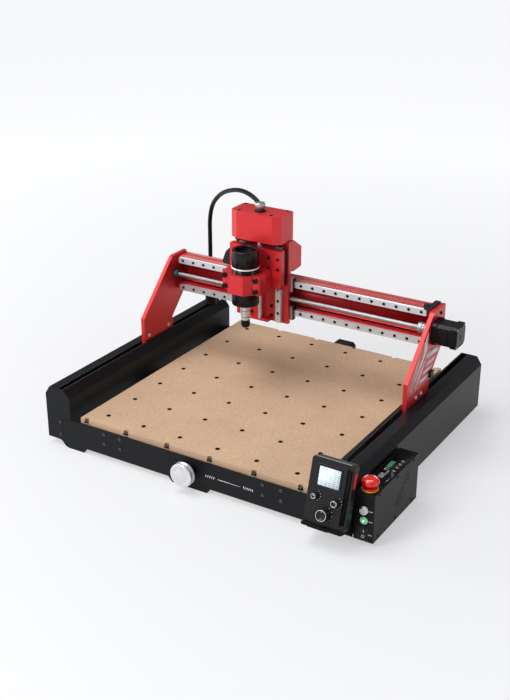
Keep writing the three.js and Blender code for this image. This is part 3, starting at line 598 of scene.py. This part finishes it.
# Bolts in the notches along the board's front and rear edges, with a dark disc of painted shade on each
# notch's floor.
EDGE_BOLT_X = [-229.5 + 90 * i for i in range(6)]
board_notch_shade = Shape()
for place in grid(EDGE_BOLT_X, (6, 550), (0,)):
    board_notch_shade.turned([(0, 64.1), (5.6, 64.1), (5.6, 64.3), (0, 64.3)], place, "+z", 24)
board_notch_shade.place("board_edge_notch_shade", "frame", HOLE_SHADE, 0)
screws("board_edge_bolts", "frame", BOLT_GREY_AND_HIGHLIGHT, grid(EDGE_BOLT_X, (6.4, 549.6), (64.3,)),
       "+z", 3.0, 2.6, 0.1)

# Painted shade in the board's grid of holes: a dark lining down each hole and a dark ring at its mouth.
SOCKET_PITCH = 80
socket_x = [-204.5 + SOCKET_PITCH * i for i in range(6)]
socket_y = [38 + SOCKET_PITCH * i for i in range(7)]
board_hole_shade = Shape()
for place in grid(socket_x, socket_y, (0,)):
    board_hole_shade.turned([(0, 64), (2.4, 64), (2.4, 69.56), (4.4, 69.6), (4.5, 69.4)], place, "+z", 24)
board_hole_shade.place("board_hole_shade", "frame", HOLE_SHADE, 0)

# Painted highlights: thin bright edges beside the slots that the gantry's plates run in.
slot_edge_highlights = Shape()
for side in (-1, 1):
    for x in (280.7, 291.4):
        slot_edge_highlights.block(sorted((side * x, side * (x + 0.35))), (6, 538), (117.9, 118.12))
slot_edge_highlights.place("slot_edge_highlights", "frame", BOLT_GREY_AND_HIGHLIGHT, 0)

# -------------------- gantry details
x_guide_holes = [-265.9 + GUIDE_PITCH * i for i in range(22)]
for node_name, guide_z in (("upper_x_guide", 258.3), ("lower_x_guide", 200.5)):
    drilled_guide(node_name, "gantry", STEEL, grid(x_guide_holes, (371.2,), (guide_z,)))

# Screws on the gantry plates, pale as their steel and lightened further as painted glints.
plate_screws = Shape()
for y, z in ((294.6, 127.4), (316.2, 127.5)):
    plate_screws.screw((PLATE_OUTER_X, y, z), "+x", 3.4, 2.4)
    plate_screws.screw((-PLATE_OUTER_X, y, z), "-x", 3.4, 2.4)
for y, z in ((270.8, 128.4), (336.6, 128.4)):
    plate_screws.screw((-PLATE_INNER_X, y, z), "+x", 3.4, 2.0)
    plate_screws.screw((PLATE_INNER_X, y, z), "-x", 3.4, 2.0)
plate_screws.place("plate_screws", "gantry", BRIGHT_METAL_AND_HIGHLIGHT, 0.15)

beam_screws = Shape()
for y, z in ((388.9, 258.2), (388.9, 201.5), (400.5, 230)):
    beam_screws.screw((PLATE_OUTER_X, y, z), "+x", 3.2, 2.0)
    beam_screws.screw((-PLATE_OUTER_X, y, z), "-x", 3.2, 2.0)
beam_screws.place("beam_end_screws", "gantry", BLACK_OXIDE_AND_SHADE, 0.15)

# Plain parallel stripes printed on the outside of the right gantry plate, as (y, z) outlines.
stripe_outlines = [
    [(269.2, 146.2), (275.8, 145.4), (327.5, 196.2), (337.6, 209), (337.9, 240.5), (323.2, 222),
     (320.6, 199)],
    [(287.8, 146.6), (294.4, 145.8), (333, 185.6), (326.4, 188.2)],
]
for i in range(3):
    y = 305.4 + 13.9 * i
    z = 147.2 + 12.7 * i
    length = 40 - 1.6 * i
    stripe_outlines.append([(y, z), (y + length, z), (y + length + 6, z + 7), (y + 7, z + 7)])
stripe_outlines += [
    [(333.4, 187), (386.6, 184.6), (391, 188.9), (364, 199.2), (351, 200.2), (335, 197)],
    [(266.5, 141.4), (349.6, 144.2), (349.6, 145), (266.5, 142.2)],
]
for i in range(9):
    y = 263 + 2 * i
    z = 152 - 0.4 * i
    rise = 64 - 3.4 * i
    run = 0.74 * rise
    stripe_outlines.append([(y, z), (y + 0.7, z), (y + run + 0.7, z + rise), (y + run, z + rise)])
stripes = Shape()
for outline in stripe_outlines:
    stripes.prism("x", outline, 290.15, 290.32)
stripes.place("plate_stripes", "gantry", PRINT, 0)

# The limit switch on the outside of the right plate.
switch_block = Shape()
switch_block.block((290.25, 294.8), (350, 362), (143.5, 156))
for z in (146.8, 152.8):
    switch_block.turned([(0, -1), (2.1, -1), (2.1, 3.6), (0, 3.6)], (292.5, 362, z), "+y", 20)
switch_block.place("gantry_limit_switch", "gantry", PLASTIC, 0.4)

# Shallow engraved lines along the beam's top, with a row of slanted marks between them.
BEAM_TOP_PRINT = (264.98, 265.06)
beam_lines = Shape()
for y in (381, 383.6, 386.2, 400.4, 403, 405.6):
    beam_lines.block((-276, 276), (y, y + 1.2), BEAM_TOP_PRINT)
for i in range(86):
    x = -272 + 6.3 * i
    outline = [(x, 389.4), (x + 1.8, 389.4), (x + 6.6, 398.2), (x + 4.8, 398.2)]
    beam_lines.prism("z", outline, *BEAM_TOP_PRINT)
beam_lines.place("beam_engraving", "gantry", ENGRAVED, 0)

# Painted shade in the recess along the front of the beam: a deeper red on its back face, with black strips of
# painted shade along the grooves above and below it.
BEAM_X = (-281, 281)
recess = Shape()
recess.block(BEAM_X, (389.25, 389.5), (221.4, 244.9))
recess.place("beam_recess_shade", "gantry", SHADE_RED, 0)
beam_groove_shade = Shape()
beam_groove_shade.block(BEAM_X, (389.15, 389.5), (244.9, 247.6))
beam_groove_shade.block(BEAM_X, (389.15, 389.5), (218.4, 221.4))
beam_groove_shade.block(BEAM_X, (385.15, 385.5), (210.4, 213.6))
beam_groove_shade.place("beam_groove_shade", "gantry", BLACK_AND_SHADE, 0)


def motor_section(reach, cut):
    """A square about the X screw's axis with its corners cut off, as (y, z) pairs."""
    y0, y1 = X_SCREW_Y - reach, X_SCREW_Y + reach
    z0, z1 = X_SCREW_Z - reach, X_SCREW_Z + reach
    return [(y0, z0 + cut), (y0 + cut, z0), (y1 - cut, z0), (y1, z0 + cut),
            (y1, z1 - cut), (y1 - cut, z1), (y0 + cut, z1), (y0, z1 - cut)]


# X motor: a narrower body between two end bells, a raised end face and a thin plate just in front.
x_motor_parts = Shape()
for reach, cut, x0, x1 in ((21.2, 4.2, 290.4, 300), (19.9, 5.4, 299.6, 327.4), (21.2, 4.2, 327, 338.5),
                           (19.4, 6.4, 338.4, 339.7)):
    x_motor_parts.prism("x", motor_section(reach, cut), x0, x1)
x_motor_parts.block((306, 322), (345.4, 346), (215, 247))
x_motor_parts.place("x_motor_end_bells", "gantry", MOTOR_BLACK, 0.6, ("x_motor",))
MOTOR_END_X = (339.6, 339.8)
# Painted shade for the slot and the two grooves in the motor's end face.
motor_slot = Shape()
motor_slot.block(MOTOR_END_X, (362, 365.5), (224, 235))
for z in (213.5, 248.5):
    motor_slot.block(MOTOR_END_X, (361, 373), (z - 1, z + 1))
motor_slot.place("x_motor_slot_shade", "gantry", HOLE_SHADE, 0)
# Pale end screws on the motor, lightened as painted glints.
screws("x_motor_screws", "gantry", BRIGHT_METAL_AND_HIGHLIGHT, grid((338.4,), (351, 383), (215, 247)), "+x", 2.2, 1.2, 0.12)

# The X screw's rod, with the coupler that joins it to the motor.
coupler = Shape()
coupler.turned(
    [(4, 258), (9.2, 258), (10, 258.8), (10, 266), (9.3, 266.4), (9.3, 267.2), (10, 267.6), (10, 270.6),
     (9.3, 271), (9.3, 271.8), (10, 272.2), (10, 279.4), (9.2, 280.5), (4, 280.5)],
    X_SCREW_AXIS, "+x", 48,
)
coupler.turned([(0, -294), (3.6, -294), (4, -293.4), (4, 258)], X_SCREW_AXIS, "+x", 32)
coupler.turned([(4, 280.5), (4, 308), (0, 308)], X_SCREW_AXIS, "+x", 32)
coupler.place("x_screw_and_coupler", "x_lead_screw", SCREW_ROD, 0.2, ("x_screw",))

turned_piece(
    "x_end_bearing_turned", "gantry", BOLT_GREY_AND_HIGHLIGHT,
    [(4.5, -281.9), (12, -281.9), (12, -279.4), (11.6, -279), (8.2, -279), (8, -278.6), (8, -273.6),
     (7.6, -273), (4.5, -273), (4.5, -281.9)],
    X_SCREW_AXIS, "+x", 48, 0.2, ("x_end_bearing",),
)

# -------------------- carriage and slide details
z_guide_holes = [201.7 + GUIDE_PITCH * i for i in range(6)]
for node_name, guide_x in (("left_z_guide", HEAD_X - 40), ("right_z_guide", HEAD_X + 40)):
    drilled_guide(node_name, "x_carriage", Z_STEEL, grid((guide_x,), (349.9,), z_guide_holes))

# Black plastic ends of the four bearing blocks on the beam.
block_seals = Shape()
for name in X_BLOCKS:
    low, high = machine_box(name)
    guide_z = (low.z + high.z) / 2
    for x0, x1 in ((low.x - 1.6, low.x + 0.2), (high.x - 0.2, high.x + 1.6)):
        block_seals.block((x0, x1), (low.y - 0.1, 370.8), (low.z - 0.1, high.z + 0.1))
        block_seals.block((x0, x1), (370.8, high.y + 0.1), (guide_z + 6.6, high.z + 0.1))
        block_seals.block((x0, x1), (370.8, high.y + 0.1), (low.z - 0.1, guide_z - 6.6))
block_seals.place("bearing_block_ends", "x_carriage", PLASTIC, 0.3)

# Black plastic ends of the two bearing blocks on the Z guides, in front of the guides.
z_seals = Shape()
for name in ("left_z_block", "right_z_block"):
    low, high = machine_box(name)
    for z0, z1 in ((low.z - 1.3, low.z + 0.2), (high.z - 0.2, high.z + 1.3)):
        z_seals.block((low.x - 0.1, high.x + 0.1), (low.y - 0.1, 349.7), (z0, z1))
z_seals.place("z_block_ends", "z_slide", PLASTIC, 0.3)

# Black strips of painted shade that close the gap behind both edges of the slide.
gap_shade = Shape()
for x0, x1 in ((HEAD_X - 54.5, HEAD_X - 52.5), (HEAD_X + 52.5, HEAD_X + 54.5)):
    gap_shade.block((x0, x1), (345.2, 357.4), (262, 333.5))
gap_shade.place("slide_gap_shade", "z_slide", BLACK_OXIDE_AND_SHADE, 0.3)

base_bolt_places = [(-47.3, 358, 211.3), (-47.2, 358, 191.6), (-92.3, 358, 190.5), (-92.3, 358, 211)]
screws("base_plate_bolts", "x_carriage", BLACK_OXIDE_AND_SHADE, base_bolt_places, "-y", 3.2, 2.0, 0.15)
slide_bolt_places = grid([HEAD_X + offset for offset in (-50, -30, 30, 50)], (331,), (298.8, 318.8))
screws("slide_plate_bolts", "z_slide", BLACK_OXIDE_AND_SHADE, slide_bolt_places, "-y", 2.9, 1.6, 0.15)
housing_screw_places = [(-107, 336, 401), (-37, 336.4, 401), (-117, 377, 401), (-25.5, 377, 401)]
screws("housing_screws", "x_carriage", BLACK_OXIDE_AND_SHADE, housing_screw_places, "+z", 2.9, 1.0, 0.12)

# The black motor plate under the housing, a stop on top of each Z guide, and the shaft coupling between them.
MOTOR_PLATE_Z = (342.9, 346.1)
motor_plate = Shape()
for x0, x1 in ((-113, -81), (-57, -25)):
    motor_plate.block((x0, x1), (330.6, 357.4), MOTOR_PLATE_Z)
motor_plate.block((-113, -25), (356.4, 357.8), MOTOR_PLATE_Z)
for guide_x in (HEAD_X - 40, HEAD_X + 40):
    motor_plate.block((guide_x - 6.6, guide_x + 6.6), (349.4, 357.8), (336.8, 343))
motor_plate.place("z_motor_plate", "x_carriage", BLACK_OXIDE_AND_SHADE, 0.3)
turned_piece(
    "z_shaft_collar", "z_lead_screw", BRIGHT_METAL_AND_HIGHLIGHT,
    [(4.05, 331), (4.6, 331), (4.9, 331.4), (4.9, 345.6), (4.6, 346), (4.05, 346)],
    Z_SCREW_AXIS, sides=40,
)

KNURLS = 36
knob = Shape()
knob.turned(
    [(4.3, 402.4), (8.2, 402.4), (8.2, 407), (8.8, 407.6), (9.4, 408), (9.4, 416.5), (8.6, 417.5), (3, 417.5),
     (2.4, 417), (0, 417)],
    Z_SCREW_AXIS, "+z", 64,
)
for i in range(KNURLS):
    x, y = around(Z_SCREW_AXIS, 9.3, 360 * i / KNURLS)
    knob.turned([(0, 408.6), (0.4, 409), (0.4, 415.4), (0, 415.8)], (x, y, 0), "+z", 6)
knob.place("z_knob_knurled", "z_lead_screw", SILVER, 0, ("z_knob",))
turned_piece(
    "z_knob_washer", "z_lead_screw", BLACK_OXIDE_AND_SHADE,
    [(4.3, 401.4), (10.8, 401.4), (11.2, 401.8), (11.2, 402.2), (10.8, 402.6), (4.3, 402.6)],
    Z_SCREW_AXIS, sides=48,
)

# Spindle: a smooth shell with a bright ring, and a recessed top with four screws.
turned_piece(
    "spindle_shell_turned", "z_slide", SPINDLE_BLACK,
    [(6.8, 232.5), (23.6, 232.5), (25.2, 233.2), (26, 235), (26, 305.6), (25.6, 306), (25.6, 308.4),
     (26, 308.8), (26, 339.6), (25.6, 340.7), (24.6, 341.2), (20.6, 341.2), (19.8, 340.6), (19.4, 339.6),
     (19.2, 331), (9, 330.4), (8.6, 332.6), (7.6, 333), (0, 333)],
    SPINDLE_AXIS, sides=96, replaces=("spindle_body",),
)
# A dark lining of painted shade inside the spindle's recessed top.
turned_piece("spindle_top_recess_shade", "z_slide", BLACK_AND_SHADE, [(19.35, 339), (19.1, 331.3), (9.1, 330.7)],
             SPINDLE_AXIS)
turned_piece(
    "spindle_ring", "z_slide", BRIGHT_METAL_AND_HIGHLIGHT,
    [(25.7, 305.8), (26.3, 305.9), (26.6, 306.3), (26.6, 308.1), (26.3, 308.5), (25.7, 308.6)],
    SPINDLE_AXIS, sides=96,
)
top_screw_places = [(*around(SPINDLE_AXIS, 14, 45 + 90 * i), 330.8) for i in range(4)]
screws("spindle_top_screws", "z_slide", BLACK_OXIDE_AND_SHADE, top_screw_places, "+z", 2.0, 1.0, 0.1)

turned_piece(
    "spindle_shaft_turned", "spindle_rotor", PALE_SILVER,
    [(0, 199.8), (8, 199.8), (8.6, 200.4), (8.6, 205), (8.2, 205.4), (8.2, 206.4), (8.6, 206.8), (9.2, 222),
     (9.6, 228), (9.6, 232.2), (6, 232.2), (6, 260.5), (0, 260.5)],
    SPINDLE_AXIS, replaces=("spindle_shaft",),
)
# Dark bands of painted shade in the shaft's grooves.
shaft_groove_shade = Shape()
for radius, z in ((8.65, 205.6), (9.1, 219.4), (9.65, 230.4)):
    inner = radius - 0.5
    outer = radius + 0.05
    shaft_groove_shade.turned([(inner, z - 0.5), (outer, z - 0.5), (outer, z + 0.5), (inner, z + 0.5)],
                         SPINDLE_AXIS, "+z", 48)
shaft_groove_shade.place("spindle_shaft_groove_shade", "spindle_rotor", GREY_SHEEN_AND_SHADE, 0)

NUT_SLOTS = 12
nut = Shape()
for profile in (
    [(3.3, 190), (3.3, 184.9), (3.8, 184.5), (6, 184.5), (7.4, 186.2), (8.1, 187.4), (8.1, 189)],
    [(8.1, 189), (8.1, 189.3), (8.0, 189.6), (8.0, 196.8), (8.4, 197.4)],
    [(8.4, 197.4), (8.6, 198), (8.6, 199.2), (8.2, 199.5), (0, 199.5)],
):
    nut.turned(profile, SPINDLE_AXIS, "+z", 48)
for i in range(NUT_SLOTS):
    x, y = around(SPINDLE_AXIS, 8.0, 360 * i / NUT_SLOTS)
    nut.turned([(0, 189.4), (0.7, 189.8), (0.7, 196.4), (0, 196.8)], (x, y, 0), "+z", 8)
nut.place("collet_nut_slotted", "spindle_rotor", BLACK_OXIDE_AND_SHADE, 0, ("collet_nut",))

clamp_screw_places = grid((HEAD_X - 34, HEAD_X + 34), (279.4,), (267.8, 289.8))
screws("clamp_screws", "z_slide", BLACK_OXIDE_AND_SHADE, clamp_screw_places, "-y", 5.0, 5.4, 0.2)

# -------------------- hand wheel
turned_piece(
    "handwheel_turned", "y_lead_screw", PALE_SILVER,
    [(0, 25.3), (13.6, 25.3), (14, 25), (14.4, 25.3), (20.4, 25.7), (21.6, 25.2), (22, 24.2), (22, 20),
     (21.2, 19.6), (21.2, 18.8), (22, 18.4), (22, 17.4), (21.2, 17), (21.2, 16.2), (22, 15.8), (22, 13.8),
     (21.2, 12.6), (15, 12.2), (14.6, 11.8), (14.6, 8), (14, 7.6), (9.4, 7.4), (9, 7), (9, 4.2), (8.4, 3.6),
     (5.4, 3.5)],
    (0, 0, 35.5), "-y", 96, replaces=("y_handwheel",),
)

# -------------------- control box details
turned_piece(
    "stop_mushroom", "stop_plunger", E_RED,
    [(0, 84), (5.6, 84), (5.6, 104.4), (12.2, 104.6), (13.6, 105.2), (14.5, 106.8), (14.9, 109), (14.8, 111),
     (14.1, 112.8), (12.6, 114.2), (10, 115.2), (5, 115.7), (0, 115.8)],
    STOP_AXIS, replaces=("emergency_stop",),
)
arrows = Shape()
for start in (20, 140, 260):
    turns = [start + 8 * step for step in range(9)]
    outer_arc = [around(STOP_AXIS, 10.2, degrees) for degrees in turns]
    inner_arc = [around(STOP_AXIS, 8.7, degrees) for degrees in reversed(turns)]
    arrows.prism("z", outer_arc + inner_arc, 114.8, 115.5)
arrows.place("stop_turn_marks", "stop_plunger", PRINT, 0)
turned_piece("stop_skirt", "frame", E_RED,
             [(6.6, 97.2), (13, 97.2), (13.3, 97.7), (13.3, 99), (12.6, 99.8), (6.6, 100)], STOP_AXIS)
turned_piece("stop_collar", "frame", YELLOW,
             [(6.6, 95.1), (13.4, 95.1), (13.8, 95.5), (13.8, 96.7), (13.4, 97.1), (6.6, 97.1)], STOP_AXIS)

turned_piece(
    "start_cap", "start_plunger", GREEN,
    [(0, -9), (4.3, -9), (4.3, 1.8), (4.0, 2.3), (3.3, 2.5), (0, 2.6)],
    START_CENTRE, "-y", 40, replaces=("start_button",),
)
turned_piece("start_light", "start_plunger", PALE_GREEN, [(0, 2.5), (1.9, 2.5), (1.7, 2.75), (0, 2.8)],
             START_CENTRE, "-y", 24)

# The start button's rim, and the round connector with its rim, both made paler than their metal as painted
# highlight.
rims = Shape()
rims.turned([(5.3, 0), (6.8, 0), (6.8, 0.9), (6.4, 1.2), (5.4, 1.2), (5.2, 0.8)], START_CENTRE, "-y", 40)
rims.turned([(6.3, 0.4), (7.3, 0.6), (7.3, 1.8), (6.3, 2.1)], CONNECTOR_CENTRE, "-y", 40)
rims.turned(
    [(6.3, 2), (6.3, 5.4), (6, 5.8), (5, 5.8), (4.7, 5.5), (4.6, 4.8), (4, 4.6), (0, 4.6)],
    CONNECTOR_CENTRE, "-y", 40,
)
rims.place("panel_rims", "frame", BRIGHT_METAL_AND_HIGHLIGHT, 0)
# Dark pin ends, and a dark block of painted shade where the connector's notch is.
pins = Shape()
for dx, dz in ((-1.6, -1.6), (1.6, -1.6), (-1.6, 1.6), (1.6, 1.6)):
    pins.turned([(0.5, 4.5), (0.5, 4.9), (0, 5)], (BOX_X + dx, 0, CONNECTOR_Z + dz), "-y", 12)
pins.block((BOX_X - 4.6, BOX_X - 1.6), (-5.95, -4.7), (69, 71.6))
pins.place("connector_pins", "frame", BLACK_AND_SHADE, 0)

# The rocker's frame: two cross bars, two uprights and a paler edge, which is a painted highlight along its
# rim.
rocker_frame = Shape()
for z0, z1 in ((9.6, 11), (32.4, 33.8)):
    bar = [(BOX_X - 8.2, z0), (BOX_X + 8.2, z0), (BOX_X + 8.2, z1), (BOX_X - 8.2, z1)]
    rocker_frame.prism("y", bar, -0.9, -0.05)
for x in (BOX_X - 8.2, BOX_X + 6.9):
    rocker_frame.prism("y", [(x, 11), (x + 1.3, 11), (x + 1.3, 32.4), (x, 32.4)], -0.9, -0.05)
rocker_frame.place("rocker_frame", "frame", GLOSS_PLASTIC, 0.15)
rocker_edge_highlight = Shape()
for z in (9.4, 33.8):
    rocker_edge_highlight.block((BOX_X - 8.4, BOX_X + 8.4), (-1.0, -0.6), (z, z + 0.35))
for x in (BOX_X - 8.4, BOX_X + 8.05):
    rocker_edge_highlight.block((x, x + 0.35), (-1.0, -0.6), (9.4, 34.15))
rocker_edge_highlight.place("rocker_frame_edge_highlight", "frame", BOLT_GREY_AND_HIGHLIGHT, 0)

# A bar and a ring on the two ends of the rocker.
rocker_marks = Shape()
rocker_marks.prism("x", [(-0.9, 24.4), (-0.7, 28.8), (-0.3, 28.8), (-0.5, 24.4)], BOX_X - 0.8, BOX_X + 0.8)
rocker_marks.turned([(1.7, 0.0), (1.7, 0.25), (2.7, 0.25), (2.7, 0.0)], (BOX_X, -1.75, 17),
                    Vector((0, -0.982, 0.19)), 32)
rocker_marks.place("rocker_marks", "rocker", PRINT, 0)

screws("box_screws", "frame", BLACK_OXIDE_AND_SHADE, grid((BOX_SIDE_X,), (18, 83, 148), (13, 90)), "+x", 3.0, 0.9, 0.1)

# Rings of vent holes on the box's side, drawn as dark dots of painted shade: the ring's centre in y and z,
# the number of dots and its radius.
VENT_RINGS = [(120, 71, 9, 10.5), (120, 71, 5, 4.8), (92, 43, 9, 10.5), (92, 43, 5, 4.8), (106, 57, 4, 3.6)]
box_vent_shade = Shape()
for centre_y, centre_z, count, reach in VENT_RINGS:
    for i in range(count):
        y, z = around((centre_y, centre_z), reach, 360 * i / count)
        box_vent_shade.turned([(0, 0.1), (1.7, 0.1), (1.7, -0.2)], (BOX_SIDE_X, y, z), "+x", 12)
box_vent_shade.place("box_vent_shade", "frame", BLACK_AND_SHADE, 0)

# The strip on top of the box, with plain marks in place of its words.
LABEL_PRINT = (95.05, 95.2)
label = Shape()
label.block((325, 354.6), (36, 163), (94.95, 95.1))
label.place("top_label", "frame", GLOSS_PLASTIC, 0)
label_marks = Shape()
for i in range(4):
    label_marks.block((345, 351), (88 + 12 * i, 89.4 + 12 * i), LABEL_PRINT)
    label_marks.block((344, 348), (91 + 12 * i, 92 + 12 * i), LABEL_PRINT)
label_marks.block((351, 352), (52, 64), LABEL_PRINT)
for i in range(5):
    label_marks.block((331 + 1.4 * (i % 2), 341), (60 + 3.2 * i, 61.4 + 3.2 * i), LABEL_PRINT)
for y in (86, 92):
    label_marks.block((330.5, 337.5), (y, y + 1.5), LABEL_PRINT)
label_marks.block((330.5, 332), (87.5, 92), LABEL_PRINT)
label_marks.place("top_label_marks", "frame", PALE_PRINT, 0)
label_light = Shape()
for i in range(5):
    label_light.block((329.5, 338.5), (97 + 4.4 * i, 100.2 + 4.4 * i), LABEL_PRINT)
label_light.place("top_label_green", "frame", DULL_GREEN, 0)

# Four short bars beside the connector, the start button and the rocker.
box_marks = Shape()
for z in (64.4, 45.4, 20.8):
    for i in range(4):
        x = 348.3 + 1.62 * i
        box_marks.block((x, x + 1.2), PRINT_ON_FRONT, (z, z + 1.6))
box_marks.place("box_front_marks", "frame", PRINT, 0)

# -------------------- pendant details
def face_point(x, up, out=0.0):
    """A point on the pendant's face: x across, up along the face, out of the face, machine mm."""
    y = -42 + up * math.sin(FACE_TILT) + out * FACE_OUT.y
    z = 39.8 + up * math.cos(FACE_TILT) + out * FACE_OUT.z
    return (289 + x, y, z)


def face_slab(shape, xs, ups, outs):
    """A block that lies along the pendant's face."""
    shape.cuboid(face_point(x, up, out) for x, up, out in product(xs, ups, outs))


def face_piece(name, material, xs, ups, outs, bevel=0):
    """A piece that is one block along the pendant's face."""
    shape = Shape()
    face_slab(shape, xs, ups, outs)
    shape.place(name, "pendant", material, bevel)


face_piece("pendant_window", GLOSS_PLASTIC, (-25.5, 18.5), (61.5, 100), (0.05, 0.6), 0.2)
face_piece("pendant_display", SCREEN, (-22.2, 15.4), (65.3, 96), (0.6, 0.8))

# Node, body, place across and up the face, radius, height and number of ridges.
PENDANT_KNOBS = [
    ("left_pendant_knob", "left_knob", -22, 47, 5.5, 10, 12),
    ("right_pendant_knob", "right_knob", 15, 44, 6.5, 10, 12),
    ("jog_wheel", "wheel", -2, 20.5, 10.5, 13, 24),
]
for node_name, knob_body, x, up, radius, height, ridges in PENDANT_KNOBS:
    grip = Shape()
    grip.turned(
        [(0, -8), (2.9, -8), (2.9, 0.8), (radius, 0.8), (radius, 2), (radius - 0.5, 2.4),
         (radius - 0.6, height - 1), (radius - 1.4, height), (radius - 2.4, height),
         (radius - 2.8, height - 0.5), (0, height - 0.5)],
        face_point(x, up), FACE_OUT, 48,
    )
    for i in range(ridges):
        ridge_x, ridge_up = around((x, up), radius - 0.5, 360 * i / ridges)
        grip.turned([(0, 2.4), (0.5, 2.8), (0.5, height - 1.6), (0, height - 1.2)],
                    face_point(ridge_x, ridge_up), FACE_OUT, 8)
    grip.place(node_name + "_ribbed", knob_body, PLASTIC, 0, (node_name,))
    # A thin metal ring on each knob's top, lightened as a painted highlight.
    inner = radius - 1.9
    outer = radius - 1.3
    turned_piece(
        node_name + "_rim", knob_body, BRIGHT_METAL_AND_HIGHLIGHT,
        [(inner, height - 0.3), (inner, height + 0.1), (outer, height + 0.1), (outer, height - 0.3)],
        face_point(x, up), FACE_OUT, 48,
    )
    turned_piece(
        node_name + "_mark", knob_body, PRINT,
        [(0.7, height - 0.5), (0.7, height - 0.2), (0, height - 0.2)],
        face_point(x, up + radius - 3.8), FACE_OUT, 12,
    )

# Short tick marks around each control, in place of printed words.
ticks = Shape()
for _, _, x, up, radius, _, _ in PENDANT_KNOBS:
    for degrees in (-60, -30, 0, 30, 60, 200, 230):
        tick_x, tick_up = around((x, up), radius + 3, degrees)
        face_slab(ticks, (tick_x - 0.9, tick_x + 0.9), (tick_up - 0.5, tick_up + 0.5), (0.02, 0.16))
ticks.place("pendant_ticks", "pendant", PALE_PRINT, 0)

# Painted shade: a flat black lining in the groove down the pendant's side.
face_piece("pendant_groove_shade", BLACK_AND_SHADE, (26.4, 33.6), (10.5, 100.5), (-2.2, -0.9))
# A painted highlight: a grey strip along the top edge of the pendant's case.
face_piece("pendant_top_edge_highlight", EDGE_HIGHLIGHT_GREY, (-31.5, 31.5), (110, 110.8), (-0.9, 0.05), 0.1)
face_piece("pendant_side_strip", E_RED, (37.9, 38.12), (72, 98), (-12.5, -3.5))

# -------------------- stage, light and render settings
# A pale floor that glows a little, more with distance from the machine, as a lit studio sweep does.
floor_material, floor_nodes, floor_links, floor_shader = new_material("backdrop")
floor_shader.inputs["Base Color"].default_value = (0.3, 0.302, 0.31, 1)
floor_shader.inputs["Roughness"].default_value = 0.5
floor_shader.inputs["Specular IOR Level"].default_value = 0.0
floor_shader.inputs["Emission Color"].default_value = (0.98, 0.985, 1.0, 1)
floor_coords = floor_nodes.new("ShaderNodeTexCoord")
floor_distance = floor_nodes.new("ShaderNodeVectorMath")
floor_distance.operation = "LENGTH"
floor_glow = floor_nodes.new("ShaderNodeMapRange")
floor_glow.inputs["From Min"].default_value = 0.4
floor_glow.inputs["From Max"].default_value = 2.2
floor_glow.inputs["To Min"].default_value = 0.5
floor_glow.inputs["To Max"].default_value = 0.74
floor_links.new(floor_coords.outputs["Object"], floor_distance.inputs[0])
floor_links.new(floor_distance.outputs["Value"], floor_glow.inputs["Value"])
floor_links.new(floor_glow.outputs["Result"], floor_shader.inputs["Emission Strength"])
floor_mesh = bpy.data.meshes.new("floor")
floor_mesh.from_pydata([(-30, -30, 0), (30, -30, 0), (30, 30, 0), (-30, 30, 0)], [], [(0, 1, 2, 3)])
floor_mesh.materials.append(floor_material)
floor = bpy.data.objects.new("floor", floor_mesh)
bpy.context.scene.collection.objects.link(floor)


def area_light(name, location, target, size, power):
    """A rectangular light that faces the target, in the row frame in metres."""
    data = bpy.data.lights.new(name, "AREA")
    data.shape = "RECTANGLE"
    data.size, data.size_y = size
    data.energy = power
    light = bpy.data.objects.new(name, data)
    light.location = location
    light.rotation_euler = (Vector(target) - Vector(location)).to_track_quat("-Z", "Y").to_euler()
    bpy.context.scene.collection.objects.link(light)


area_light("overhead", (-0.6, -0.2, 2.2), (0, 0, 0.1), (1.0, 0.9), 14)
area_light("front_left", (-0.9, -2.3, 1.7), (0, 0, 0.2), (0.9, 0.9), 44)
area_light("right_rim", (2.6, 0.2, 1.2), (0, 0, 0.2), (0.8, 1.8), 9)
area_light("left_fill", (-2.4, -0.9, 0.9), (0, 0, 0.3), (0.6, 1.6), 20)

sun_data = bpy.data.lights.new("sky", "SUN")
sun_data.energy = 1.5
sun_data.angle = math.radians(45)
sun = bpy.data.objects.new("sky", sun_data)
sun.rotation_euler = Vector((0.35, 0.25, -1)).to_track_quat("-Z", "Y").to_euler()
bpy.context.scene.collection.objects.link(sun)

world = bpy.data.worlds.new("world")
world.use_nodes = True
world.node_tree.nodes["Background"].inputs["Color"].default_value = (0.97, 0.98, 1.0, 1)
world.node_tree.nodes["Background"].inputs["Strength"].default_value = 0.24
scene = bpy.context.scene
scene.world = world
scene.view_settings.view_transform = "Standard"
scene.view_settings.look = "None"
scene.cycles.use_denoising = True
